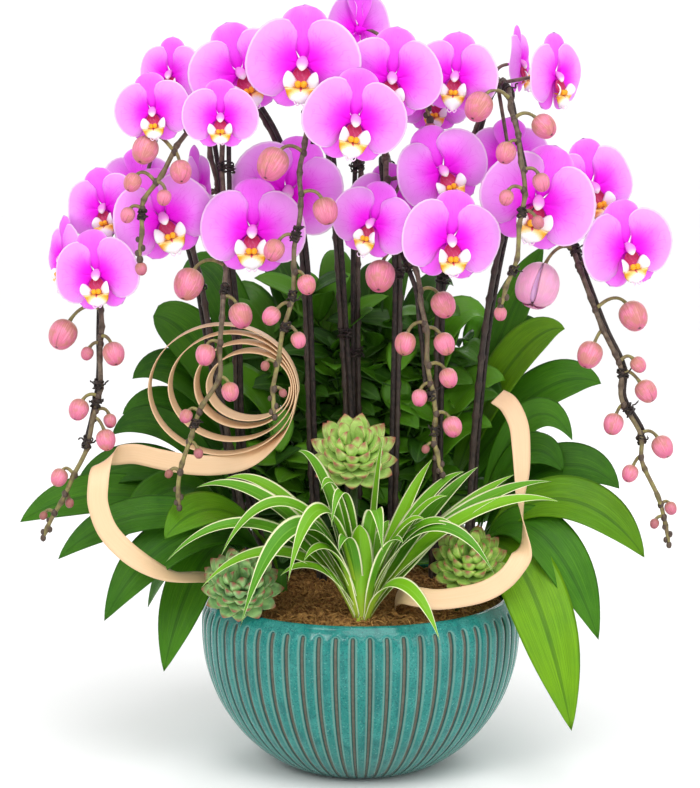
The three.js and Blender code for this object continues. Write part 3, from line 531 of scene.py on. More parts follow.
def bowlProfile(spec):
    # the foot, the belly, the shoulder that leans in, the rounded lip and the inner wall
    foot = np.outer([0, 0.3, 0.6, 0.9, 0.975], [spec["footRadius"], 0])
    belly = bellyProfile(spec)
    a = np.linspace(0, 1, spec["rows"]["shoulder"])[1:, None]
    lipFoot = spec["height"] - spec["lipRound"]
    shoulder = np.hstack([
        spec["radius"] - (spec["radius"] - spec["rimRadius"] - 0.6 * mm) * a ** 2.2,
        spec["widestAt"] + (lipFoot - spec["widestAt"]) * a])
    turn = np.linspace(0.25, np.pi * 0.9, spec["rows"]["lip"])[:, None]
    lip = np.hstack([spec["rimRadius"] - spec["lipRound"] * (1 - np.cos(turn)),
                     spec["height"] - spec["lipRound"] * (1 - np.sin(turn))])
    inner = np.array(spec["innerRows"], float) * mm
    outerRows = len(foot) + len(belly) + len(shoulder)
    return np.concatenate([foot, belly, shoulder, lip, inner]), outerRows


def bowlSurface(spec):
    # radius at an angle = profile - rib depth times the relief, which rounds off from the rib's
    # middle (g = 0) to the groove's floor (g past its edge), and fades in below an arched top
    profile, outerRows = bowlProfile(spec)
    part = np.array(spec["columns"])
    half = np.concatenate([-part[:0:-1], part[:-1]])
    g = np.abs(np.append(np.tile(half, spec["ribs"]), half[0]))
    ribs = np.repeat(np.arange(spec["ribs"]), len(half))
    phase = np.append(ribs + np.tile(half, spec["ribs"]) / 2, spec["ribs"] - 0.5)
    turn = phase * 2 * np.pi / spec["ribs"]
    near = np.clip(g / spec["grooveEdge"], 0, 1)
    relief = 0.78 * (1 - np.sqrt(1 - near ** 4)) + 0.22 * near ** 2
    z = profile[:, 1:2]
    arch = spec["ribTop"] - spec["archDrop"] * smoothStep(0.55, 1.0, 1 - g)[None]
    fade = smoothStep(0, 1, (arch - z) / spec["topFade"]) * smoothStep(0, 1, z / spec["footFade"])
    groove = relief[None] * fade * (np.arange(len(profile)) < outerRows)[:, None]
    r = profile[:, :1] - spec["ribDepth"] * groove
    points = xyz(r * np.cos(turn), -r * np.sin(turn), z)
    return outward(gridSurface(points, runOf(profile), phase[None] / spec["ribs"], groove=groove))


def glazeMaterial():
    # turquoise with fine dark specks, darker where it runs down; a pale line at the ribs' edges is
    # partly the glaze breaking there and partly a painted highlight, the grooves' sides carry painted
    # shade, and the grooves are grey
    material, tree, spot, uv = newMaterial(
        "turquoiseGlaze", 0.2, Specular_IOR_Level=0.18, Coat_Weight=0.25, Coat_Roughness=0.03)
    lowDown = addNode(tree, "SeparateXYZ", n0=spot).outputs[2]
    drip = noise(tree, stretched(tree, spot, (110, 110, 12)), 1.0, 3.0)
    speck = noise(tree, spot, 560.0, 3.0, 0.75)
    pale = noise(tree, spot, 430.0, 3.0, 0.7)
    groove = readValue(tree, "groove")
    tone = mottled(tree, spot, 48.0, 0.5, (0.014, 0.210, 0.182), (0.048, 0.310, 0.272))
    tone = painted(tree, tone, (0.006, 0.115, 0.115), drip, 0.42, 0.75, 0.7)
    tone = painted(tree, tone, (0.006, 0.085, 0.090), speck, 0.50, 0.66, 0.75)
    tone = painted(tree, tone, (0.13, 0.42, 0.37), pale, 0.58, 0.72, 0.6)
    tone = painted(tree, tone, (0.022, 0.130, 0.115), lowDown, 0.07, 0.0, 0.45)
    # pale line at the ribs' edges: the glaze's break there, and a painted highlight along those edges
    breakAndHighlight = times(tree, between(tree, groove, 0.06, 0.20),
                 between(tree, groove, 0.52, 0.30, 0.0, 0.55))
    tone = mixColours(tree, breakAndHighlight, tone, (0.190, 0.340, 0.285))
    # painted shade: dark teal down the sloping sides of each groove
    tone = painted(tree, tone, (0.016, 0.085, 0.078), groove, 0.32, 0.60)
    dry = noise(tree, spot, 260.0, 3.0)
    grey = mixColours(tree, dry, (0.075, 0.078, 0.056), (0.190, 0.180, 0.140))
    tone = painted(tree, tone, grey, groove, 0.62, 0.95)
    rough = between(tree, groove, 0.6, 0.95, 0.14, 0.42)
    return finished(material, tone, plus(tree, times(tree, speck, 0.35), drip), 0.0006, 0.35, rough)


addPiece("glazed_bowl", bowlSurface(bowl), glazeMaterial(), "glaze", "pot")
print("bowl ready")


# the potting medium: a low mound of brown curly fibre in the bowl

medium = {
    "edgeHeight": 171 * mm,
    "edgeRadius": 138 * mm,
    "shoulderHeight": 182 * mm,
    "shoulderRadius": 70 * mm,
    "crownHeight": 187 * mm,
    "wallRadius": 144.5 * mm,
    "wallFoot": 159 * mm,
    "holeFloor": 148.3 * mm,
    "straightTop": 196 * mm,
    "rings": 72,
    "columns": 260,
    "clump": 3.6 * mm,
    "seed": 5,
}
fibre = {"count": 2700, "steps": 7, "sides": 3, "curl": 2.4, "length": (7, 20),
         "arch": (1.5, 6.5), "radius": (0.45, 1.05)}   # lengths in mm


def hills(x, y, count, reach, rng):
    # a sum of plane waves in random directions, from about -1 to 1
    angle = rng.uniform(0, 2 * np.pi, count)
    beat = 2 * np.pi / rng.uniform(*reach, count)
    phase = rng.uniform(0, 2 * np.pi, count)
    total = sum(np.sin(w * (x * np.cos(a) + y * np.sin(a)) + p)
                for a, w, p in zip(angle, beat, phase))
    return total / math.sqrt(count)


def moundHeight(spec, radius):
    # straight lines between the crown, the shoulder, the edge and the wall
    places = [0, spec["shoulderRadius"], spec["edgeRadius"], spec["wallRadius"]]
    heights = [spec["crownHeight"], spec["shoulderHeight"], spec["edgeHeight"],
               spec["edgeHeight"] - 5 * mm]
    return np.interp(radius, places, heights)


def mediumSurface(spec):
    rng = np.random.default_rng(spec["seed"])
    radius = (np.linspace(0, 1, spec["rings"]) ** 0.75 * spec["wallRadius"])[:, None]
    turn = np.linspace(0, 2 * np.pi, spec["columns"] + 1)
    x, y = radius * np.cos(turn), -radius * np.sin(turn)
    lumps = hills(x, y, 14, (7 * mm, 16 * mm), rng) * hills(x, y, 10, (14 * mm, 34 * mm), rng)
    fine = hills(x, y, 16, (3 * mm, 6 * mm), rng)
    calm = smoothStep(0, 0.1, 1 - radius / spec["wallRadius"])
    rise = (0.6 * lumps + 0.35 * fine) * spec["clump"] * calm
    top = xyz(x, y, moundHeight(spec, radius) + np.minimum(rise, 1.2 * spec["clump"]))
    under = top[[-1, 0]] * [0.996, 0.996, 0] + [0, 0, spec["wallFoot"]]
    points = np.concatenate([top, under])
    points[0] = points[0].mean(axis=0)
    points[-1] = points[-1].mean(axis=0)
    lump = np.concatenate([rise, rise[[-1, 0]]]) / spec["clump"]
    return outward(gridSurface(points, np.arange(len(points)) / len(points),
                               turn / (2 * np.pi), lump=lump))


def fibreSurface(spec, thread):
    # short curled threads that lie on the mound: arcs of a few points, as three-sided tubes
    rng = np.random.default_rng(spec["seed"] + 1)
    count, steps, sides = thread["count"], thread["steps"], thread["sides"]
    radius = spec["wallRadius"] * 0.97 * np.sqrt(rng.uniform(0, 1, (count, 1)))
    place = rng.uniform(0, 2 * np.pi, (count, 1))
    heading = rng.uniform(0, 2 * np.pi, (count, 1))
    curl = rng.normal(0, thread["curl"], (count, 1))
    length = rng.uniform(*thread["length"], (count, 1)) * mm
    t = np.linspace(-0.5, 0.5, steps)
    angle = heading + curl * t * 2
    x = radius * np.cos(place) + length * t * np.cos(angle)
    y = radius * np.sin(place) + length * t * np.sin(angle)
    arch = rng.uniform(*thread["arch"], (count, 1)) * mm * (1 - (2 * t) ** 2)
    away = np.sqrt(x ** 2 + y ** 2)
    squeeze = np.minimum(1, (spec["wallRadius"] - 1.2 * mm) / away)
    path = xyz(x * squeeze, y * squeeze, moundHeight(spec, away) + arch - 0.8 * mm)
    along = unit(np.gradient(path, axis=1))
    across = unit(np.cross(along, (0, 0, 1)))
    other = np.cross(across, along)
    thick = rng.uniform(*thread["radius"], (count, 1)) * mm * (1 - (2 * t) ** 4)
    ring = np.linspace(0, 2 * np.pi, sides + 1)[:, None]
    points = path[:, :, None] + thick[..., None, None] * (
        across[:, :, None] * np.cos(ring) + other[:, :, None] * np.sin(ring))
    block = steps * (sides + 1)
    faces = gridFaces(steps, sides + 1)[:, ::-1] + (np.arange(count) * block)[:, None, None]
    shade = np.repeat(rng.uniform(0, 1, count), block)
    return {
        "points": points.reshape(-1, 3),
        "faces": faces.reshape(-1, 4),
        "uv": np.stack([np.tile(np.repeat(t + 0.5, sides + 1), count), shade], axis=1),
        "values": {"lump": 0.3 + shade},
    }


def mossMaterial():
    material, tree, spot, uv = newMaterial("brownMoss", 0.9, Specular_IOR_Level=0.25)
    grain = noise(tree, spot, 700.0, 4.0, 0.7, 1.5)
    tone = mottled(tree, spot, 160.0, 0.9, (0.500, 0.260, 0.075), (0.200, 0.085, 0.022))
    tone = painted(tree, tone, (0.780, 0.500, 0.200), grain, 0.52, 0.7)
    # painted shade: near black in the hollows between the lumps of the mound
    tone = painted(tree, tone, (0.040, 0.016, 0.007), readValue(tree, "lump"), 0.1, -0.7)
    return finished(material, tone, grain, 0.0012, 0.9)


addPiece("moss_mound", joined([mediumSurface(medium), fibreSurface(medium, fibre)]),
         mossMaterial(), "medium", "potting_medium")
print("medium ready")


# the blooms: two broad petals, three sepals behind them, the column and the lip

bloomShape = {
    "blade": 1.1 * mm,
    "petalTilt": 13.5,       # degrees above level of a petal's middle line
    "petalSpread": 79.0,
    "petalReach": 0.965,
    "petalRound": 2.9,
    "neckEnd": 0.3,
    "sepals": [   # degrees from level, length, half width, set back, bulge
        (90.0, 1.02, 0.400, 0.062, 0.05),
        (-56.0, 0.83, 0.295, 0.050, 0.045),
        (236.0, 0.83, 0.295, 0.050, 0.045),
    ],
    "petalSteps": (20, 28),
    "sepalSteps": (18, 12),
    "lipBottom": (-0.79, -0.67),
    "lobeLean": 0.035,
    "nod": (6, 4),           # degrees that a lip turns and leans
    "seed": 100,
}
# places and the way a stalk bows in millimetres, sizes are half spans; yaw and roll in degrees
blooms = named(("name", "spike", "at", "size", "yaw", "roll", "cup", "root", "bow"), [
    ("bloom_01", "far_left", (-196, -140, 670), 37, -8, 7),
    ("bloom_02", "far_left", (-253, -118, 514), 44, -18, 9),
    ("bloom_03", "far_left", (-290, -62, 524), 42, -62, 12),
    ("bloom_04", "far_left", (-250, -70, 574), 40, -20, 14),
    ("bloom_05", "far_left", (-222, 4, 590), 39, 170, 0),
    ("bloom_06", "upper_left", (-190, -105, 567), 49, 8, 19),
    ("bloom_07", "upper_left", (-132, -150, 665), 36, 0, 0, 0.35),
    ("bloom_08", "left_middle", (-115, -115, 705), 49, 10, 16),
    ("bloom_09", "centre_left", (-55, -152, 715), 54, -6, 0),
    ("bloom_10", "centre_back", (-7, -174, 663), 49, 8, -7),
    ("bloom_11", "centre_right", (28, -130, 701), 48, 0, -6),
    ("bloom_12", "upper_right", (89, -105, 702), 42, -15, -6),
    ("bloom_13", "upper_right", (70, -60, 677), 37, -5, 0),
    ("bloom_14", "centre_right", (-3, -60, 746), 41, -140, 0),
    ("bloom_15", "left_middle", (-104, -112, 555), 51, 0, -2),
    ("bloom_16", "centre_left", (-72, -75, 590), 56, 5, -20),
    ("bloom_17", "centre_back", (10, -115, 563), 41, -15, -16),
    ("bloom_18", "centre_back", (26, -50, 576), 41, 10, 0),
    ("bloom_19", "centre_right", (78, -98, 612), 46, 10, 23),
    ("bloom_20", "centre_right", (84, -142, 549), 48, 8, -7),
    ("bloom_21", "far_right", (168, -115, 583), 56, -5, -20),
    ("bloom_22", "far_right", (224, -65, 594), 48, 28, 10),
    ("bloom_23", "far_right", (257, -95, 537), 48, 20, 9),
    ("bloom_24", "upper_right", (187, -75, 701), 42, 50, 0),
    ("bloom_25", "upper_right", (156, -14, 712), 38, 72, 0),
    ("bloom_26", "upper_left", (-160, -54, 592), 42, 75, 0, 0.05, (-142, 0, 585), 18),
    ("bloom_27", "upper_left", (-184, -70, 703), 36, -30, 0),
    ("bloom_28", "upper_right", (144, -45, 620), 41, 180, 0),
])


def bloomTurn(bloom):
    return turnAbout((0, 0, 1), bloom["yaw"]) @ turnAbout((0, 1, 0), -bloom["roll"])


def cupped(x, y, z, cup):
    # the whole blade bends forward with the square of its distance from the column
    return xyz(x, y - cup * (x ** 2 + z ** 2), z)


def petalSurface(shape, side, cup, rng, size):
    # polar outline: reach = (1 - |s| to a power) to its inverse, and angle = tilt + spread times
    # s, narrower near the claw; the blade bulges forward at mid length and its rim curls back
    rows, cols = shape["petalSteps"]
    u = np.append(np.linspace(0, 0.985, rows - 1) ** 0.9, 1.0)[:, None]
    v = np.linspace(-1, 1, cols)[None]
    s = np.sin(np.pi * v / 2)
    power = shape["petalRound"]
    reach = (1 - np.abs(s) ** power) ** (1 / power)
    narrow = 0.58 + 0.42 * smoothStep(0.04, 0.60, u * reach)
    angle = np.radians(shape["petalTilt"] + shape["petalSpread"] * s * narrow)
    reach = reach * (shape["petalReach"] + wave(rng, (0.010, 0.022), (5, 7), s))
    bulge = 0.115 * np.sin(np.pi * u ** 0.9) * (1 - 0.5 * s ** 2)
    crease = 0.030 * bell(s, 0.14) * np.sin(np.pi * u) ** 0.7
    fold = rng.uniform(0.02, 0.05) * bell(s - rng.uniform(0.5, 0.62), 0.13) * u ** 1.5
    waves = wave(rng, (0.012, 0.026), (7, 10), s) * u ** 3
    y = -bulge + crease + fold + waves + 0.060 * u ** 3 * (1 - 0.3 * s ** 2)
    points = cupped(side * (0.04 + u * reach * np.cos(angle)), y, u * reach * np.sin(angle), cup)
    thickness = shape["blade"] / size * (1 - u ** 6) * (1 - v ** 6) * (0.6 + 0.8 * (1 - u))
    return shell(points, thickness, u, v, rim=u, heart=bell(u * reach, 0.40))


def sepalSurface(shape, spec, cup, rng, size):
    # half width = most times sin(pi t to the 1.9) to the 0.6, along a line at its own angle
    degrees, length, half, setBack, bulge = spec
    rows, cols = shape["sepalSteps"]
    a = math.radians(degrees + rng.normal(0, 1.5))
    t = np.linspace(0, 1, rows)[:, None] ** 0.9
    v = np.sin(np.linspace(-0.5, 0.5, cols) * np.pi)[None]
    width = half * np.sin(np.pi * t ** 1.9) ** 0.60
    x = length * t * math.cos(a) - width * v * math.sin(a)
    z = length * t * math.sin(a) + width * v * math.cos(a)
    y = setBack - bulge * np.sin(np.pi * t) * (1 - v ** 2) + 0.02 * v ** 2
    y = y + 0.05 * t ** 3 + rng.uniform(0.0, 0.02) * np.sin(4 * v + rng.uniform(0, 6)) * t
    edge = np.maximum(t ** 4, np.abs(v) ** 1.5 * smoothStep(0.1, 0.6, t))
    return shell(cupped(x, y, z, cup), shape["blade"] / size * thinning(t, v, 0.5), t, v,
                 rim=0.34 + 0.28 * edge + 0.38 * smoothStep(0.88, 1.0, edge),
                 heart=0.82 * bell(t, 0.42))


def neckSurface(shape, size):
    # the pale neck that joins the blades to the flower stalk behind them
    y = np.linspace(-0.05, shape["neckEnd"], 9)
    radius = np.interp(y, [-0.05, 0.03, 0.13, shape["neckEnd"]], [0.06, 0.14, 0.060, 1.3 * mm / size])
    return rod(xyz(0, y, 0), radius, 10, first=(1, 0, 0), rim=0.0, heart=1.0)


def columnSurface():
    # the column: a pink hood over the lip, with a rounded white cap at its end
    path = smoothPath([(0, 0.04, 0.10), (0, -0.07, 0.06), (0, -0.14, -0.01), (0, -0.175, -0.12)], 6)
    t = np.linspace(0, 1, len(path))
    radius = (0.066 + 0.042 * np.sin(np.pi * t ** 1.5)) * np.sqrt(np.clip(1 - t ** 5, 0, 1))
    radius[0] = 0
    return tube(path, radius, 12, first=(1, 0, 0), squash=0.7, pink=0.85 * smoothStep(0.92, 0.62, t))


def throatSurface():
    # the hollow between the lip's lobes: a half pipe that opens to the front and upwards
    t, v = shares(10, 13)
    x = (0.10 + 0.075 * np.sin(np.pi * t) ** 0.8) * np.sin(np.pi / 2 * v)
    y = -0.03 - 0.14 * t ** 2 - 0.10 * (1 - np.cos(np.pi / 2 * v))
    stripes = 0.5 + 0.5 * np.sin(17 * v + 4 * t) * np.sin(13 * t + 1)
    return shell(xyz(x, y, -0.07 - 0.37 * t), 0.02 * thinning(t, v, 0.5, 0.001), t, v,
                 yellow=0.9 * smoothStep(0.62, 0.95, t),
                 crimson=smoothStep(1.0, 0.70, t) * (0.62 + 0.38 * stripes), pink=0.7)


def sideLobe(side, lean):
    # a rounded ear that stands up beside the column, hollow towards it: half width = sin(pi t to
    # the 0.66) to the 0.5 along a line that curves up and out
    t, v = shares(15, 11)
    half = 0.190 * np.sin(np.pi * t ** 0.66) ** 0.50 * (1 - 0.16 * t)
    x = 0.160 + (0.085 + lean) * t ** 0.9 + half * v * 0.74 - 0.02 * v ** 2
    y = -0.13 - 0.17 * np.sin(np.pi * t * 0.75) - half * v * 0.50 + 0.045 * v ** 2
    z = -0.49 + (0.37 - 0.6 * abs(lean)) * t + half * v * 0.12 * (1 - t)
    low = smoothStep(0.36, 0.10, t) * smoothStep(-1.0, -0.2, v)
    root = smoothStep(-0.05, -0.95, v + 0.7 * (t - 0.45))
    stripe = 0.5 + 0.5 * np.sin(26 * t + 5 * v)
    return shell(xyz(side * x, y, z), 0.022 * thinning(t, v, 0.6, 0.001), t, v, yellow=0.9 * low,
                 crimson=root * (0.45 + 0.55 * stripe) * smoothStep(0.85, 0.50, t),
                 pink=0.16 * smoothStep(0.5, -1.0, v))


def midLobe(bottom):
    # the front lobe: a shield that juts forward from the throat and bends down to its tip
    path = smoothPath([(-0.09, -0.36), (-0.19, -0.42), (-0.275, -0.48), (-0.285, -0.60),
                       (-0.21, bottom)], 8)
    t, v = shares(24, 17)
    y, z = (np.interp(t, np.linspace(0, 1, len(path)), path[:, k]) for k in (0, 1))
    taper = (1 - np.clip((t - 0.40) / 0.60, 0, 1) ** 1.9) ** 0.72
    x = (0.09 + 0.185 * smoothStep(0.10, 0.42, t)) * taper * v
    y = y + v ** 2 * (0.09 - 0.13 * bell(t - 0.36, 0.14))
    z = z + 0.035 * v ** 2 * bell(t - 0.42, 0.16)
    yellow = (bell(t - 0.38 - 0.20 * v ** 2, 0.19) * (0.45 + 0.6 * np.abs(v))
              + smoothStep(0.30, 0.15, t))
    crimson = (bell(v, 0.12) * smoothStep(0.66, 0.34, t)
               + 0.8 * bell(t - 0.24, 0.07) * smoothStep(0.15, 0.6, np.abs(v)))
    return shell(xyz(x, y, z), 0.03 * thinning(t, v, 0.5, 0.001), t, v, pink=0.05 * t ** 2,
                 yellow=np.clip(yellow, 0, 1), crimson=np.clip(crimson, 0, 1))


def callusSurface(side):
    # one of the two knobs in the throat
    return egg([0.050 * side, -0.235, -0.345], [0.018 * side, -0.02, 0.062], 0.060, 8,
               first=(1, 0, 0), yellow=1.0, crimson=0.28)


def tendril(side, bottom):
    # a thin thread from the lip's tip, curling up and out
    path = smoothPath([(0.01 * side, -0.20, bottom + 0.02), (0.05 * side, -0.25, bottom - 0.02),
                       (0.10 * side, -0.26, bottom + 0.03), (0.09 * side, -0.22, bottom + 0.08)], 4)
    return tube(path, 0.012 * np.sqrt(1 - np.linspace(0, 1, len(path)) ** 4), 5, pink=0.35)


def bloomSurfaces(shape, bloom, number):
    # shaped round the column's root with a half span of 1, then turned, sized and put in place
    rng = np.random.default_rng(shape["seed"] + number)
    size = bloom["size"] * mm
    cup = bloom.get("cup", 0.05)
    bottom = rng.uniform(*shape["lipBottom"])
    blades = [petalSurface(shape, side, cup, rng, size) for side in (1, -1)]
    blades += [sepalSurface(shape, spec, cup, rng, size) for spec in shape["sepals"]]
    blades.append(neckSurface(shape, size))
    lip = [columnSurface(), throatSurface(), midLobe(bottom)]
    for side in (1, -1):
        lean = rng.normal(0, shape["lobeLean"])
        lip += [sideLobe(side, lean), callusSurface(side), tendril(side, bottom)]
    surfaces = [joined(blades), joined(lip)]
    turn, lean = (rng.normal(0, most) for most in shape["nod"])
    nod = turnAbout((0, 0, 1), turn) @ turnAbout((0, 1, 0), lean)
    surfaces[1]["points"] = surfaces[1]["points"] @ nod.T
    for surface in surfaces:
        turned = surface["points"] * size @ bloomTurn(bloom).T
        surface["points"] = turned + np.array(bloom["at"]) * mm
    return surfaces


def petalMaterial():
    material, tree, spot, uv = newMaterial(
        "orchidPetal", 0.55, Specular_IOR_Level=0.15, Subsurface_Weight=0.25,
        Subsurface_Radius=(0.006, 0.003, 0.006), Subsurface_Scale=1.0)
    rim = readValue(tree, "rim")
    streak = veined(tree, uv, 21.0, 1.3, 0.035)[1]
    cloud = noise(tree, spot, 60.0, 2.0)
    drift = times(tree, calculate(tree, "SUBTRACT", cloud, 0.5), 0.30)
    tone = mixColours(tree, between(tree, plus(tree, rim, drift), 0.25, 0.95),
                      (0.82, 0.090, 0.84), (0.88, 0.305, 0.93))
    tone = painted(tree, tone, (0.82, 0.003, 0.76), readValue(tree, "heart"), 0.06, 0.85)
    across = addNode(tree, "SeparateXYZ", n0=uv).outputs[1]
    wander = noise(tree, stretched(tree, uv, (3.0, 6.0, 1)), 1.0, 2.0)
    row = plus(tree, times(tree, across, 10.0), times(tree, wander, 4.0))
    vein = between(tree, calculate(tree, "PINGPONG", row, 0.5), 0.0, 0.13, 1.0, 0.0)
    vein = times(tree, vein, between(tree, rim, 0.95, 0.35, 0.08, 0.42))
    tone = mixColours(tree, vein, tone, (0.70, 0.020, 0.70))
    tone = painted(tree, tone, (1.0, 0.74, 1.0), rim, 0.945, 0.99, 0.75)
    return finished(material, tone, streak, 0.0003, 0.25)


def lipMaterial():
    material, tree, spot, uv = newMaterial(
        "orchidLip", 0.42, Specular_IOR_Level=0.3, Subsurface_Weight=0.15,
        Subsurface_Radius=(0.003, 0.002, 0.001), Subsurface_Scale=1.0)
    cloud = noise(tree, spot, 900.0, 3.0)
    jitter = times(tree, calculate(tree, "SUBTRACT", cloud, 0.5), 0.4)
    yellow = plus(tree, readValue(tree, "yellow"), jitter)
    crimson = plus(tree, readValue(tree, "crimson"), jitter)
    tone = mixColours(tree, readValue(tree, "pink"), (0.96, 0.92, 0.92), (0.80, 0.15, 0.72))
    tone = painted(tree, tone, (0.96, 0.62, 0.10), yellow, 0.12, 0.55, 0.75)
    tone = painted(tree, tone, (0.93, 0.40, 0.012), yellow, 0.45, 0.95)
    tone = painted(tree, tone, (0.58, 0.012, 0.120), crimson, 0.30, 0.80, 0.97)
    return finished(material, tone)


petalPink = petalMaterial()
lipColours = lipMaterial()
for number, bloom in enumerate(blooms):
    petals, lip = bloomSurfaces(bloomShape, bloom, number)
    addPiece(bloom["name"] + "_petals", petals, petalPink, "petal", bloom["name"])
    addPiece(bloom["name"] + "_lip", lip, lipColours, "petal", bloom["name"])
print("blooms ready")


# the flower spikes: stems, bud chains and flower stalks, and the wires that hold them

spikeShape = {
    "baseRadius": 3.6 * mm,
    "tipRadius": 2.1 * mm,
    "pedicelRadius": 1.7 * mm,
    "stalkRadius": 1.7 * mm,
    "neckEnd": 0.3,
    "seatGap": 0.3 * mm,
    "wireRadius": 2.5 * mm,
    "wireOffset": 6.8 * mm,
    "stepsPerSpan": 6,
    "nodeEvery": 30 * mm,
    "bend": 1.9 * mm,
    "openFrom": 18 * mm,     # a bud with a larger radius is opening
    "seed": 300,
}
